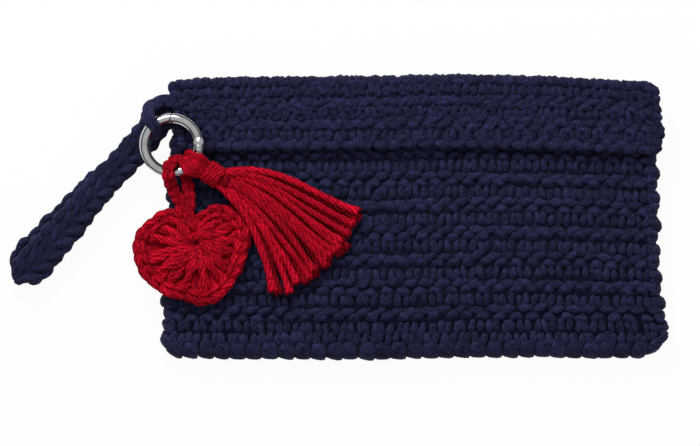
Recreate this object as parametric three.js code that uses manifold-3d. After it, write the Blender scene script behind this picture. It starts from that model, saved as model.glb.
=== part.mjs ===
// Crocheted fold-over clutch with a wrist strap, a spring-gate ring, a heart charm and a tassel.
// It lies on its back: X runs across, Y towards the top fold, Z out of the front. Millimetres.
import * as THREE from 'three';
import { mergeVertices } from 'three/addons/utils/BufferGeometryUtils.js';
import Module from 'manifold-3d';

const wasm = await Module();
wasm.setup();

// Fits
const GAP = 0.3; // between neighbouring pieces
const MOUTH_GAP = 0.8; // between the front's top edge and the top fold
const PIN_CLEARANCE = 0.15;

// Pouch
const BAG_HEIGHT = 141;
const BODY_TOP_WIDTH = 241;
const BODY_BOTTOM_WIDTH = 255;
const FABRIC = 5; // crocheted fabric thickness
const POCKET_DEPTH = 6; // clear depth between front and back
const SEAM_WIDTH = 6;
const SEAM_SCALLOP = 1.3;
const BOTTOM_FOLD_DEPTH = 6;
const CORNER_RADIUS = 7;
const ROW_PITCH = 13.4; // one band of two crochet rows
const GROOVE_WIDTH = 2.6;
const GROOVE_DEPTH = 0.9;

// Flap
const FLAP_HEIGHT = 37;
const FLAP_GAP = 1; // between flap and front
const FLAP_LEFT_TOP = 123; // edge distances from the middle of the bag
const FLAP_LEFT_END = 116.5;
const FLAP_RIGHT_TOP = 122.5;
const FLAP_RIGHT_BULGE = 125.5;
const FLAP_RIGHT_END = 120.5;
const FLAP_CORNER = 4;
const FLAP_BORDER = 16.2; // free edge to the first groove
const FLAP_ROW_PITCH = 11;

// Magnetic snap
const SNAP_DIAMETER = 14;
const SNAP_THICKNESS = 2.2;
const SNAP_DISH_DIAMETER = 6;
const SNAP_DISH_DEPTH = 0.8;
const SNAP_FROM_EDGE = 10;

// Spring-gate ring
const RING_X = -120.8;
const RING_FROM_TOP = 34.9; // centre below the bag's top edge
const RING_OUTER_DIAMETER = 32.4;
const WIRE_DIAMETER = 5.3;
const RING_LIFT = 1.8; // wire above the flap
const PIN_ANGLE = 7;
const GATE_ANGLE = 90; // where the outer half of the gate ends
const LATCH_LENGTH = 1.8; // how far the inner half reaches past the outer half
const KNUCKLE_DIAMETER = 6.2;
const TONGUE_THICKNESS = 2.4;
const PIN_DIAMETER = 1.5;
const PIN_HEAD_DIAMETER = 2.4;
const PIN_HEAD_HEIGHT = 0.35;
const SPRING_WIRE = 0.36;
const SPRING_DIAMETER = 1.7; // outer
const SPRING_PITCH = 0.84;
const SPRING_TURNS = 5;

// Strap
const STRAP_ROOT_DIAMETER = 5.6;
const STRAP_ROOT_FROM_TOP = 13; // where it is sewn to the flap's left edge
const STRAP_HINGE_X = -146;
const STRAP_HINGE_FROM_TOP = 45.5;
const STRAP_ANGLE = 227.5;
const STRAP_LENGTH = 78; // hinge to far end
const STRAP_WIDTH = 16;
const STRAP_OPENING = 6; // gap between the two layers
const STRAP_LAYER = 5;
const STRAP_END_RADIUS = 6.5;
const STRAP_NECK_LENGTH = 16;
const STRAP_KNUCKLE_DIAMETER = 10;
const RING_TIP_ROOM = 0.9; // room for the wire to turn inside the strap
const WRAP_FIRST_ANGLE = 144; // where the strap lies over the wire
const WRAP_LAST_ANGLE = 176; // where it lies under the wire

// Heart charm
const HEART_X = -111.2;
const HEART_FROM_TOP = 84.9;
const HEART_TILT = 8;
const HEART_HALF_WIDTH = 28.8;
const HEART_WAIST = 2.3; // widest level above the centre
const HEART_LOBE = 13.2; // lobe tops aside of the middle
const HEART_TOP = 18.6; // lobe tops above the centre
const HEART_NOTCH = 9;
const HEART_TIP = 29.3;
const HEART_THICKNESS = 7;
const HEART_RIBS = 18;
const HEART_RIM = 6;
const LOOP_YARN = 3.2;
const LOOP_ANGLE = 262;
const LOOP_CLEARANCE = 0.6;
const LOOP_SEAT = 3.8; // clear of the notch's slopes
const LOOP_SPREAD = 2; // half the distance between the loop's two strands

// Tassel
const TASSEL_ANGLE = -40; // where it hangs on the wire
const TASSEL_HEADING = -38;
const TASSEL_HEAD_WIDTH = 8;
const TASSEL_HEAD_WALL = 2.6;
const TASSEL_CORE_DIAMETER = 8;
const NECK_YARN = 2.4;
const NECK_TURNS = 3;
const NECK_PITCH = 2.9;
const NECK_START = 8.5; // from the wire along the tassel
const STRAND_DIAMETER = 3.2;
const STRANDS_PER_LAYER = 11;
const STRAND_UNEVEN = 3; // how much shorter some strands are cut
const SKIRT_LENGTH_SHORT = 64;
const SKIRT_LENGTH_LONG = 74;
const SKIRT_FIRST_ANGLE = -13;
const SKIRT_LAST_ANGLE = -60;
const SKIRT_SWAY = 6.6; // how far the strands beside the heart bow away from it

const navy = new THREE.MeshStandardMaterial({ color: 0x1f1f4a, roughness: 0.95 });
const red = new THREE.MeshStandardMaterial({ color: 0xc01024, roughness: 0.9 });
const steel = new THREE.MeshStandardMaterial({ color: 0xc8cbd0, roughness: 0.18, metalness: 1 });

// Levels and lines that several pieces share
const yTop = BAG_HEIGHT / 2;
const ringY = yTop - RING_FROM_TOP;
const strapRootY = yTop - STRAP_ROOT_FROM_TOP;
const strapHingeY = yTop - STRAP_HINGE_FROM_TOP;
const yBottom = -BAG_HEIGHT / 2;
const bodyHeight = 2 * FABRIC + POCKET_DEPTH;
const frontLow = FABRIC + POCKET_DEPTH;
const flapLow = bodyHeight + FLAP_GAP;
const flapHigh = flapLow + FABRIC;
const foldRadius = FABRIC / 2;
const foldY = yTop - foldRadius;
const flapMid = flapLow + foldRadius;
const panelTop = foldY - foldRadius - GAP;
const frontTop = foldY - foldRadius - MOUTH_GAP;
const panelBottom = yBottom + BOTTOM_FOLD_DEPTH + GAP;
const flapEnd = yTop - FLAP_HEIGHT;
const wireRadius = WIRE_DIAMETER / 2;
const ringRadius = (RING_OUTER_DIAMETER - WIRE_DIAMETER) / 2;
const ringZ = flapHigh + RING_LIFT + wireRadius;
const frontClear = bodyHeight + GAP;

const bag = new THREE.Group();

function radians(degrees) {
  return THREE.MathUtils.degToRad(degrees);
}

// Turns a closed geometry into a solid for joining and cutting.
function solid(geometry) {
  const bare = geometry.clone();
  bare.deleteAttribute('normal');
  bare.deleteAttribute('uv');
  const merged = mergeVertices(bare, 1e-4);
  const vertProperties = new Float32Array(merged.attributes.position.array);
  const triVerts = new Uint32Array(merged.index.array);
  const mesh = new wasm.Mesh({ numProp: 3, vertProperties, triVerts });
  mesh.merge();
  return new wasm.Manifold(mesh);
}

function geometryOf(body) {
  const mesh = body.getMesh();
  const geometry = new THREE.BufferGeometry();
  geometry.setAttribute('position', new THREE.BufferAttribute(new Float32Array(mesh.vertProperties), 3));
  geometry.setIndex(new THREE.BufferAttribute(new Uint32Array(mesh.triVerts), 1));
  geometry.computeVertexNormals();
  return geometry;
}

function addPart(name, geometry, material, parent = bag) {
  const mesh = new THREE.Mesh(geometry, material);
  mesh.name = name;
  parent.add(mesh);
  return mesh;
}

// Skins equal rings of points in order. An open skin is capped at both ends.
function loft(rings, closed = false) {
  const count = rings[0].length;
  const points = rings.flat();
  const faces = [];
  const spans = closed ? rings.length : rings.length - 1;
  for (let i = 0; i < spans; i += 1) {
    const here = i * count;
    const next = ((i + 1) % rings.length) * count;
    for (let j = 0; j < count; j += 1) {
      const k = (j + 1) % count;
      faces.push([here + j, here + k, next + k], [here + j, next + k, next + j]);
    }
  }
  if (!closed) {
    const last = (rings.length - 1) * count;
    for (let j = 1; j < count - 1; j += 1) {
      faces.push([0, j + 1, j], [last, last + j, last + j + 1]);
    }
  }
  let volume = 0;
  const cross = new THREE.Vector3();
  for (const [a, b, c] of faces) {
    volume += points[a].dot(cross.crossVectors(points[b], points[c]));
  }
  const index = faces.flatMap(([a, b, c]) => (volume > 0 ? [a, b, c] : [a, c, b]));
  const geometry = new THREE.BufferGeometry().setFromPoints(points);
  geometry.setIndex(index);
  geometry.computeVertexNormals();
  return geometry;
}

// A round tube along a smooth curve through the points.
function tube(points, diameter, sides, steps, closed = false) {
  const curve = new THREE.CatmullRomCurve3(points, closed, 'centripetal');
  const frames = curve.computeFrenetFrames(steps, closed);
  const rings = [];
  const stations = closed ? steps : steps + 1;
  for (let i = 0; i < stations; i += 1) {
    const centre = curve.getPointAt(i / steps);
    const ring = [];
    for (let j = 0; j < sides; j += 1) {
      const turn = (2 * Math.PI * j) / sides;
      const across = frames.normals[i].clone().multiplyScalar((Math.cos(turn) * diameter) / 2);
      const up = frames.binormals[i].clone().multiplyScalar((Math.sin(turn) * diameter) / 2);
      ring.push(centre.clone().add(across).add(up));
    }
    rings.push(ring);
  }
  return loft(rings, closed);
}

// A vertical cylinder centred on a point.
function post(x, y, z, radius, height, sides = 40) {
  const geometry = new THREE.CylinderGeometry(radius, radius, height, sides);
  geometry.rotateX(Math.PI / 2);
  geometry.translate(x, y, z);
  return geometry;
}

function halfWidth(y) {
  const share = (y - yBottom) / BAG_HEIGHT;
  return THREE.MathUtils.lerp(BODY_BOTTOM_WIDTH, BODY_TOP_WIDTH, share) / 2;
}

// Extrudes a profile drawn in Y and Z across the bag, to a half width that may vary with Y.
function acrossBag(shape, halfAt) {
  const geometry = new THREE.ExtrudeGeometry(shape, { depth: 2, bevelEnabled: false, curveSegments: 8 });
  const place = geometry.attributes.position;
  for (let i = 0; i < place.count; i += 1) {
    const y = place.getX(i);
    place.setXYZ(i, (place.getZ(i) - 1) * halfAt(y), y, place.getY(i));
  }
  return geometry;
}

// Draws one face of a panel from one Y to another, with a groove below each crochet band.
function drawBands(shape, from, to, z, inward, grooves) {
  const forward = to > from;
  const reach = Math.abs(to - from) / 2 - GROOVE_WIDTH;
  const inside = grooves.filter((y) => Math.abs(y - (from + to) / 2) < reach);
  inside.sort((a, b) => (forward ? a - b : b - a));
  const half = ((forward ? 1 : -1) * GROOVE_WIDTH) / 2;
  for (const y of inside) {
    shape.lineTo(y - half, z);
    shape.lineTo(y, z + inward * GROOVE_DEPTH);
    shape.lineTo(y + half, z);
  }
  shape.lineTo(to, z);
}

function panelHalf(y) {
  return halfWidth(y) - SEAM_WIDTH - GAP;
}

const bodyGrooves = [];
for (let y = panelBottom + ROW_PITCH / 2; y < panelTop; y += ROW_PITCH) {
  bodyGrooves.push(y);
}

// The end of a panel beside a fold: flat towards the inside, hollow round the fold's turning edge.
const hollow = foldRadius + GAP;
const hollowRise = Math.asin(foldRadius / hollow);
const hollowReach = foldY - hollow * Math.cos(hollowRise);

function buildBack() {
  const shape = new THREE.Shape();
  shape.moveTo(panelBottom, FABRIC);
  shape.lineTo(panelBottom, 0);
  drawBands(shape, panelBottom, hollowReach, 0, 1, bodyGrooves);
  shape.absarc(foldY, foldRadius, hollow, Math.PI + hollowRise, Math.PI, true);
  shape.lineTo(panelTop, FABRIC);
  return acrossBag(shape, panelHalf);
}

const snapY = flapEnd + SNAP_FROM_EDGE;
const snapJoin = bodyHeight + FLAP_GAP / 2;
const snapRecess = SNAP_DIAMETER / 2 + GAP;
const snapReach = SNAP_THICKNESS + GAP / 2 + GAP;

function buildFront() {
  const shape = new THREE.Shape();
  shape.moveTo(panelBottom, frontLow);
  shape.lineTo(frontTop, frontLow);
  shape.lineTo(frontTop, bodyHeight);
  drawBands(shape, frontTop, panelBottom, bodyHeight, -1, bodyGrooves);
  const recess = post(0, snapY, snapJoin - snapReach / 2, snapRecess, snapReach);
  return geometryOf(solid(acrossBag(shape, panelHalf)).subtract(solid(recess)));
}

function buildFlap() {
  const middle = flapEnd + foldRadius;
  const grooves = [];
  for (let y = flapEnd + FLAP_BORDER; y < panelTop; y += FLAP_ROW_PITCH) {
    grooves.push(y);
  }
  const shape = new THREE.Shape();
  shape.moveTo(panelTop, flapLow);
  shape.lineTo(panelTop, flapMid);
  shape.absarc(foldY, flapMid, hollow, Math.PI, Math.PI - hollowRise, true);
  drawBands(shape, hollowReach, middle, flapHigh, -1, grooves);
  shape.absarc(middle, flapMid, foldRadius, Math.PI / 2, (3 * Math.PI) / 2, false);
  const reach = Math.max(FLAP_LEFT_TOP, FLAP_RIGHT_BULGE) + FABRIC;
  const slab = solid(acrossBag(shape, () => reach));

  const edge = flapEnd - FABRIC;
  const outline = new THREE.Shape();
  outline.moveTo(-FLAP_LEFT_TOP, yTop);
  outline.lineTo(-FLAP_LEFT_END, flapEnd + FLAP_CORNER);
  outline.quadraticCurveTo(-FLAP_LEFT_END, flapEnd, -FLAP_LEFT_END + FLAP_CORNER, flapEnd);
  outline.lineTo(-FLAP_LEFT_END + FLAP_CORNER, edge);
  outline.lineTo(FLAP_RIGHT_END - FLAP_CORNER, edge);
  outline.lineTo(FLAP_RIGHT_END - FLAP_CORNER, flapEnd);
  outline.quadraticCurveTo(FLAP_RIGHT_END, flapEnd, FLAP_RIGHT_END, flapEnd + FLAP_CORNER);
  outline.quadraticCurveTo(FLAP_RIGHT_BULGE, (flapEnd + yTop) / 2, FLAP_RIGHT_TOP, yTop);
  const deep = { depth: 2 * FABRIC, bevelEnabled: false, curveSegments: 6 };
  const plan = new THREE.ExtrudeGeometry(outline, deep);
  plan.translate(0, 0, flapMid - FABRIC);
  const recess = post(0, snapY, snapJoin + snapReach / 2, snapRecess, snapReach);
  return geometryOf(slab.intersect(solid(plan)).subtract(solid(recess)));
}

function buildTopFold() {
  const shape = new THREE.Shape();
  shape.moveTo(foldY + foldRadius, foldRadius);
  shape.lineTo(foldY + foldRadius, flapMid);
  shape.absarc(foldY, flapMid, foldRadius, 0, Math.PI, false);
  shape.lineTo(foldY - foldRadius, foldRadius);
  shape.absarc(foldY, foldRadius, foldRadius, Math.PI, 2 * Math.PI, false);
  return acrossBag(shape, () => Math.min(FLAP_LEFT_TOP, FLAP_RIGHT_TOP));
}

// A side seam bulges once for each crochet band.
function buildSeam(side) {
  const stationsPerBand = 4;
  const arcPoints = 8;
  const low = panelBottom;
  const count = Math.round((stationsPerBand * (frontTop - low)) / ROW_PITCH);
  const rings = [];
  for (let i = 0; i <= count; i += 1) {
    const y = THREE.MathUtils.lerp(low, frontTop, i / count);
    const wave = (1 + Math.cos((2 * Math.PI * (y - bodyGrooves[0])) / ROW_PITCH)) / 2;
    const width = SEAM_WIDTH - SEAM_SCALLOP * wave;
    const ring = [];
    for (let j = 0; j <= arcPoints; j += 1) {
      const turn = Math.PI * (j / arcPoints - 0.5);
      const x = halfWidth(y) - SEAM_WIDTH + width * Math.cos(turn);
      ring.push(new THREE.Vector3(side * x, y, (bodyHeight / 2) * (1 + Math.sin(turn))));
    }
    rings.push(ring);
  }
  return loft(rings);
}

// The turn along the bottom shrinks to a rounded corner at each end.
function buildBottomFold() {
  const cornerStations = 6;
  const arcPoints = 8;
  const slimmest = 0.35; // share of the section left at the very end
  const reach = halfWidth(yBottom) - SEAM_SCALLOP / 2;
  const places = [];
  for (let i = 0; i <= cornerStations; i += 1) {
    const turn = (Math.PI / 2) * (i / cornerStations);
    const share = Math.max(slimmest, Math.cos(turn));
    places.push({ x: reach - CORNER_RADIUS * (1 - Math.sin(turn)), share });
  }
  const mirrored = places.map(({ x, share }) => ({ x: -x, share })).reverse();
  const rings = mirrored.concat(places).map(({ x, share }) => {
    const ring = [];
    for (let j = 0; j <= arcPoints; j += 1) {
      const turn = Math.PI * (j / arcPoints - 0.5);
      const y = yBottom + BOTTOM_FOLD_DEPTH * (1 - share * Math.cos(turn));
      ring.push(new THREE.Vector3(x, y, (bodyHeight / 2) * (1 + share * Math.sin(turn))));
    }
    return ring;
  });
  return loft(rings);
}

// Both snap halves are flat turned discs that meet face to face, each with a shallow dish.
function buildSnap(isStud) {
  const radius = SNAP_DIAMETER / 2;
  const dish = SNAP_DISH_DIAMETER / 2;
  const profile = [
    new THREE.Vector2(0, -SNAP_THICKNESS),
    new THREE.Vector2(radius, -SNAP_THICKNESS),
    new THREE.Vector2(radius, 0),
    new THREE.Vector2(dish, 0),
    new THREE.Vector2(0, -SNAP_DISH_DEPTH),
  ];
  const geometry = new THREE.LatheGeometry(profile, 32);
  geometry.rotateX(isStud ? Math.PI / 2 : -Math.PI / 2);
  geometry.translate(0, snapY, snapJoin + (isStud ? -GAP / 2 : GAP / 2));
  return geometryOf(solid(geometry));
}

// Ring

function ringAt(degrees, radius = ringRadius, rise = 0) {
  const turn = radians(degrees);
  const spoke = new THREE.Vector3(Math.cos(turn), Math.sin(turn), 0).multiplyScalar(radius);
  return spoke.add(new THREE.Vector3(RING_X, ringY, ringZ + rise));
}

const pinAt = ringAt(PIN_ANGLE);
const knuckleRadius = KNUCKLE_DIAMETER / 2;
const tallCut = 4 * WIRE_DIAMETER;
const gateOuterReach = pinAt.distanceTo(ringAt(GATE_ANGLE));
const gateInnerReach = gateOuterReach + LATCH_LENGTH;

function ringPost(radius, height = tallCut) {
  return solid(post(RING_X, ringY, ringZ, radius, height));
}

function pinPost(radius, height = tallCut) {
  return solid(post(pinAt.x, pinAt.y, ringZ, radius, height));
}

// A block on the gate's side of the radial line through the pin.
function gateSide() {
  const size = 2 * RING_OUTER_DIAMETER;
  const block = new THREE.BoxGeometry(size, size, tallCut);
  block.translate(0, size / 2, 0);
  block.rotateZ(radians(PIN_ANGLE));
  block.translate(RING_X, ringY, ringZ);
  return solid(block);
}

// The gate's free end is cut by circles round its pin, so it swings inward past the fixed end.
function gateRegion(clearance) {
  const outer = pinPost(gateOuterReach - clearance);
  const inner = pinPost(gateInnerReach - clearance).intersect(ringPost(ringRadius + GAP / 2 - clearance));
  return outer.add(inner).intersect(gateSide());
}

function wholeRing() {
  const torus = new THREE.TorusGeometry(ringRadius, wireRadius, 12, 56);
  torus.translate(RING_X, ringY, ringZ);
  return solid(torus);
}

const springRoom = SPRING_DIAMETER / 2 + GAP;
const springLength = SPRING_PITCH * SPRING_TURNS + SPRING_WIRE;
const springHeading = new THREE.Vector3(Math.sin(radians(PIN_ANGLE)), -Math.cos(radians(PIN_ANGLE)), 0);

// The spring's bore runs from the tongue into the fixed half, along the wire.
function springBore() {
  const depth = knuckleRadius + 2 * GAP + springLength;
  const bore = new THREE.CylinderGeometry(springRoom, springRoom, depth, 16);
  bore.translate(0, -depth / 2, 0);
  bore.rotateZ(radians(PIN_ANGLE));
  bore.translate(pinAt.x, pinAt.y, ringZ);
  return solid(bore);
}

function buildRingBody() {
  const slotHeight = TONGUE_THICKNESS + 2 * GAP;
  const cheeks = pinPost(knuckleRadius, WIRE_DIAMETER);
  const wire = wholeRing().subtract(gateRegion(0));
  return wire
    .add(cheeks)
    .subtract(pinPost(knuckleRadius + GAP, slotHeight))
    .subtract(springBore())
    .subtract(pinPost(PIN_DIAMETER / 2 + PIN_CLEARANCE));
}

function buildGate() {
  const clearOfCheeks = pinPost(knuckleRadius + GAP);
  const tongue = pinPost(knuckleRadius, TONGUE_THICKNESS);
  const arm = wholeRing().intersect(gateRegion(GAP));
  const bridge = arm.intersect(pinPost(2 * knuckleRadius, TONGUE_THICKNESS));
  return arm
    .subtract(clearOfCheeks)
    .add(bridge)
    .add(tongue)
    .subtract(pinPost(PIN_DIAMETER / 2 + PIN_CLEARANCE));
}

function buildPin() {
  const half = WIRE_DIAMETER / 2 + GAP;
  const profile = [
    new THREE.Vector2(0, -half - PIN_HEAD_HEIGHT),
    new THREE.Vector2(PIN_HEAD_DIAMETER / 2, -half),
    new THREE.Vector2(PIN_DIAMETER / 2, -half),
    new THREE.Vector2(PIN_DIAMETER / 2, half),
    new THREE.Vector2(PIN_HEAD_DIAMETER / 2, half),
    new THREE.Vector2(0, half + PIN_HEAD_HEIGHT),
  ];
  const geometry = new THREE.LatheGeometry(profile, 20);
  geometry.rotateX(Math.PI / 2);
  geometry.translate(pinAt.x, pinAt.y, ringZ);
  return geometryOf(solid(geometry));
}

// An evenly wound helix about a start point and a heading. Its end points are included.
function helix(start, heading, radius, pitch, turns, stepsPerTurn) {
  const aside = new THREE.Vector3(0, 0, 1);
  const beside = new THREE.Vector3().crossVectors(heading, aside).normalize();
  const points = [];
  for (let i = 0; i <= turns * stepsPerTurn; i += 1) {
    const turn = (2 * Math.PI * i) / stepsPerTurn;
    const along = heading.clone().multiplyScalar((pitch * i) / stepsPerTurn);
    const out = aside.clone().multiplyScalar(radius * Math.cos(turn));
    const over = beside.clone().multiplyScalar(radius * Math.sin(turn));
    points.push(start.clone().add(along).add(out).add(over));
  }
  return points;
}

// The least clear distance between turns that lie more than half a turn apart.
function selfGap(points, stepsPerTurn, diameter) {
  let least = Infinity;
  for (let i = 0; i < points.length; i += 1) {
    for (let j = i + Math.ceil(stepsPerTurn / 2); j < points.length; j += 1) {
      least = Math.min(least, points[i].distanceTo(points[j]) - diameter);
    }
  }
  return least;
}

function windTube(points, diameter, sides) {
  return tube(points, diameter, sides, points.length - 1);
}

function buildSpring() {
  const stepsPerTurn = 8;
  const away = knuckleRadius + 2 * GAP + SPRING_WIRE / 2;
  const start = pinAt.clone().addScaledVector(springHeading, away);
  const radius = (SPRING_DIAMETER - SPRING_WIRE) / 2;
  const points = helix(start, springHeading, radius, SPRING_PITCH, SPRING_TURNS - 1, stepsPerTurn);
  console.log('gate_spring self gap', selfGap(points, stepsPerTurn, SPRING_WIRE).toFixed(2));
  return windTube(points, SPRING_WIRE, 5);
}

// Strap

const wrapRadius = wireRadius + STRAP_ROOT_DIAMETER / 2 + GAP + RING_TIP_ROOM;
const strapKnuckle = STRAP_KNUCKLE_DIAMETER / 2;
const strapHeight = 2 * STRAP_LAYER + STRAP_OPENING;
const strapHinge = new THREE.Vector3(STRAP_HINGE_X, strapHingeY, strapHeight / 2);

const flapLeftFall = yTop - flapEnd - FLAP_CORNER;
const flapLeftNormal = new THREE.Vector3(-flapLeftFall, FLAP_LEFT_END - FLAP_LEFT_TOP, 0).normalize();

function flapLeftAt(y) {
  return -THREE.MathUtils.lerp(FLAP_LEFT_TOP, FLAP_LEFT_END, (yTop - y) / flapLeftFall);
}

// The root leaves the flap's edge, climbs over the ring's wire, dives through and comes out below.
function buildStrapRoot() {
  const sewn = new THREE.Vector3(flapLeftAt(strapRootY), strapRootY, flapMid);
  const points = [
    sewn.clone().addScaledVector(flapLeftNormal, GAP),
    sewn.clone().addScaledVector(flapLeftNormal, STRAP_ROOT_DIAMETER),
    new THREE.Vector3(sewn.x - 2 * STRAP_ROOT_DIAMETER, strapRootY - wireRadius / 2, ringZ + wireRadius),
  ];
  const wrapSteps = 4;
  for (let k = 0; k <= wrapSteps; k += 1) {
    const around = Math.PI * (0.5 - k / wrapSteps);
    const inward = ringRadius - wrapRadius * Math.cos(around);
    const angle = THREE.MathUtils.lerp(WRAP_FIRST_ANGLE, WRAP_LAST_ANGLE, k / wrapSteps);
    points.push(ringAt(angle, inward, wrapRadius * Math.sin(around)));
  }
  const toHinge = radians(STRAP_ANGLE + 180);
  const away = new THREE.Vector3(Math.cos(toHinge), Math.sin(toHinge), 0);
  const end = strapHinge.clone().addScaledVector(away, strapKnuckle + GAP);
  const before = end.clone().addScaledVector(away, STRAP_ROOT_DIAMETER / 2);
  points.push(before, end);
  return tube(points, STRAP_ROOT_DIAMETER, 10, 40);
}

// The wrist loop is one band doubled back on itself, with a round end and a slim knuckle at its hinge.
function buildStrapLoop() {
  const middle = strapHeight / 2;
  const knuckleHalf = STRAP_LAYER;
  const bend = STRAP_LENGTH - middle;
  const side = new THREE.Shape();
  side.moveTo(-strapKnuckle, middle - knuckleHalf);
  side.lineTo(strapKnuckle, middle - knuckleHalf);
  const neckMiddle = STRAP_NECK_LENGTH / 2;
  side.bezierCurveTo(neckMiddle, middle - knuckleHalf, neckMiddle, 0, STRAP_NECK_LENGTH, 0);
  side.lineTo(bend, 0);
  side.absarc(bend, middle, middle, -Math.PI / 2, Math.PI / 2, false);
  side.lineTo(STRAP_NECK_LENGTH, strapHeight);
  const knuckleTop = middle + knuckleHalf;
  side.bezierCurveTo(neckMiddle, strapHeight, neckMiddle, knuckleTop, strapKnuckle, knuckleTop);
  side.lineTo(-strapKnuckle, knuckleTop);
  const slotStart = STRAP_NECK_LENGTH + STRAP_OPENING / 2;
  const slot = new THREE.Path();
  slot.absarc(slotStart, middle, STRAP_OPENING / 2, Math.PI / 2, (3 * Math.PI) / 2, false);
  slot.absarc(bend, middle, STRAP_OPENING / 2, -Math.PI / 2, Math.PI / 2, false);
  slot.closePath();
  side.holes.push(slot);
  const wide = { depth: 2 * STRAP_WIDTH, bevelEnabled: false, curveSegments: 8 };
  const band = new THREE.ExtrudeGeometry(side, wide);
  band.translate(0, 0, -STRAP_WIDTH);
  band.rotateX(Math.PI / 2);

  const half = STRAP_WIDTH / 2;
  const plan = new THREE.Shape();
  plan.absarc(0, 0, strapKnuckle, Math.PI / 2, (3 * Math.PI) / 2, false);
  plan.bezierCurveTo(neckMiddle, -strapKnuckle, neckMiddle, -half, STRAP_NECK_LENGTH, -half);
  const turnAt = STRAP_LENGTH - STRAP_END_RADIUS;
  plan.absarc(turnAt, -half + STRAP_END_RADIUS, STRAP_END_RADIUS, -Math.PI / 2, 0, false);
  plan.absarc(turnAt, half - STRAP_END_RADIUS, STRAP_END_RADIUS, 0, Math.PI / 2, false);
  plan.lineTo(STRAP_NECK_LENGTH, half);
  plan.bezierCurveTo(neckMiddle, half, neckMiddle, strapKnuckle, 0, strapKnuckle);
  const tall = { depth: 2 * strapHeight, bevelEnabled: false, curveSegments: 8 };
  const outline = new THREE.ExtrudeGeometry(plan, tall);
  outline.translate(0, 0, -strapHeight / 2);
  return geometryOf(solid(band).intersect(solid(outline)));
}

// Heart charm

// One side is drawn from the notch to the tip and mirrored back up.
function heartOutline() {
  const dip = THREE.MathUtils.lerp(HEART_NOTCH, HEART_TOP, 0.3);
  const arcs = [
    [[0.4 * HEART_LOBE, dip], [0.5 * HEART_LOBE, HEART_TOP], [HEART_LOBE, HEART_TOP]],
    [[1.75 * HEART_LOBE, HEART_TOP], [HEART_HALF_WIDTH, 0.65 * HEART_TOP], [HEART_HALF_WIDTH, HEART_WAIST]],
    [[HEART_HALF_WIDTH, -0.4 * HEART_TIP], [0.5 * HEART_HALF_WIDTH, -HEART_TIP], [0, -HEART_TIP]],
  ];
  const outline = new THREE.Shape();
  outline.moveTo(0, HEART_NOTCH);
  for (const [first, second, end] of arcs) {
    outline.bezierCurveTo(...first, ...second, ...end);
  }
  const starts = [[0, HEART_NOTCH], arcs[0][2], arcs[1][2]];
  for (let i = arcs.length - 1; i >= 0; i -= 1) {
    const [first, second] = arcs[i];
    outline.bezierCurveTo(-second[0], second[1], -first[0], first[1], -starts[i][0], starts[i][1]);
  }
  return outline;
}

// A flat round of tall stitches: ribs run from the centre to a raised rim.
function buildHeart() {
  const pointsPerRib = 4;
  const edge = heartOutline().getSpacedPoints(HEART_RIBS * pointsPerRib).slice(0, -1);
  const ribDepth = 0.22;
  const levels = [
    { inset: HEART_RIM / 3, height: 0, rib: 0 },
    { inset: 0, height: 0.4, rib: 0 },
    { inset: HEART_RIM / 4, height: 0.85, rib: 0 },
    { inset: HEART_RIM / 2, height: 1, rib: 0 },
    { inset: HEART_RIM, height: 0.72, rib: 0 },
    { share: 0.5, height: 0.9, rib: ribDepth },
    { share: 0.22, height: 0.95, rib: ribDepth / 2 },
    { share: 0.08, height: 0.6, rib: 0 },
  ];
  const rings = levels.map(({ inset, share, height, rib }) => edge.map((point, j) => {
    const distance = point.length();
    const scale = share === undefined ? (distance - inset) / distance : share;
    const valley = (rib * (1 - Math.cos((2 * Math.PI * j) / pointsPerRib))) / 2;
    return new THREE.Vector3(point.x * scale, point.y * scale, HEART_THICKNESS * (height - valley));
  }));
  return loft(rings);
}

const heartCentre = new THREE.Vector3(HEART_X, yTop - HEART_FROM_TOP, frontClear);
const heartUp = new THREE.Vector3(-Math.sin(radians(HEART_TILT)), Math.cos(radians(HEART_TILT)), 0);
const heartSide = new THREE.Vector3(heartUp.y, -heartUp.x, 0);

// The chain loop goes round the ring's wire and down into the heart's notch.
function buildHeartLoop() {
  const wire = ringAt(LOOP_ANGLE);
  const around = wireRadius + LOOP_CLEARANCE + LOOP_YARN / 2;
  const notch = heartCentre.clone().addScaledVector(heartUp, HEART_NOTCH + LOOP_YARN / 2 + LOOP_SEAT);
  notch.z += HEART_THICKNESS / 2 + LOOP_YARN / 4;
  const neck = notch.clone().addScaledVector(heartUp, 2 * LOOP_SPREAD);
  const middle = wire.clone().lerp(notch, 0.5);
  const points = [];
  for (let k = -2; k <= 2; k += 1) {
    const turn = (-Math.PI / 4) * k;
    const y = wire.y + around * Math.cos(turn);
    points.push(new THREE.Vector3(wire.x + (LOOP_SPREAD * k) / 2, y, wire.z + around * Math.sin(turn)));
  }
  points.push(
    new THREE.Vector3(middle.x + 1.5 * LOOP_SPREAD, middle.y, notch.z),
    neck.clone().addScaledVector(heartSide, LOOP_SPREAD),
    notch,
    neck.clone().addScaledVector(heartSide, -LOOP_SPREAD),
    new THREE.Vector3(middle.x - 1.5 * LOOP_SPREAD, middle.y, middle.z),
  );
  return tube(points, LOOP_YARN, 8, 48, true);
}

// Tassel

const tasselWire = ringAt(TASSEL_ANGLE);
const tasselTurn = radians(TASSEL_HEADING);
const tasselAlong = new THREE.Vector3(Math.cos(tasselTurn), Math.sin(tasselTurn), 0);
const coreRadius = TASSEL_CORE_DIAMETER / 2;
const wrapOut = coreRadius + GAP + NECK_YARN;
const neckLength = NECK_TURNS * NECK_PITCH + NECK_YARN;
const skirtStart = NECK_START + neckLength + GAP;
const neckDrop = (frontClear + GAP + wrapOut - ringZ) / (NECK_START + neckLength);
const coreHeading = tasselAlong.clone().setZ(Math.min(neckDrop, 0)).normalize();

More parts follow.
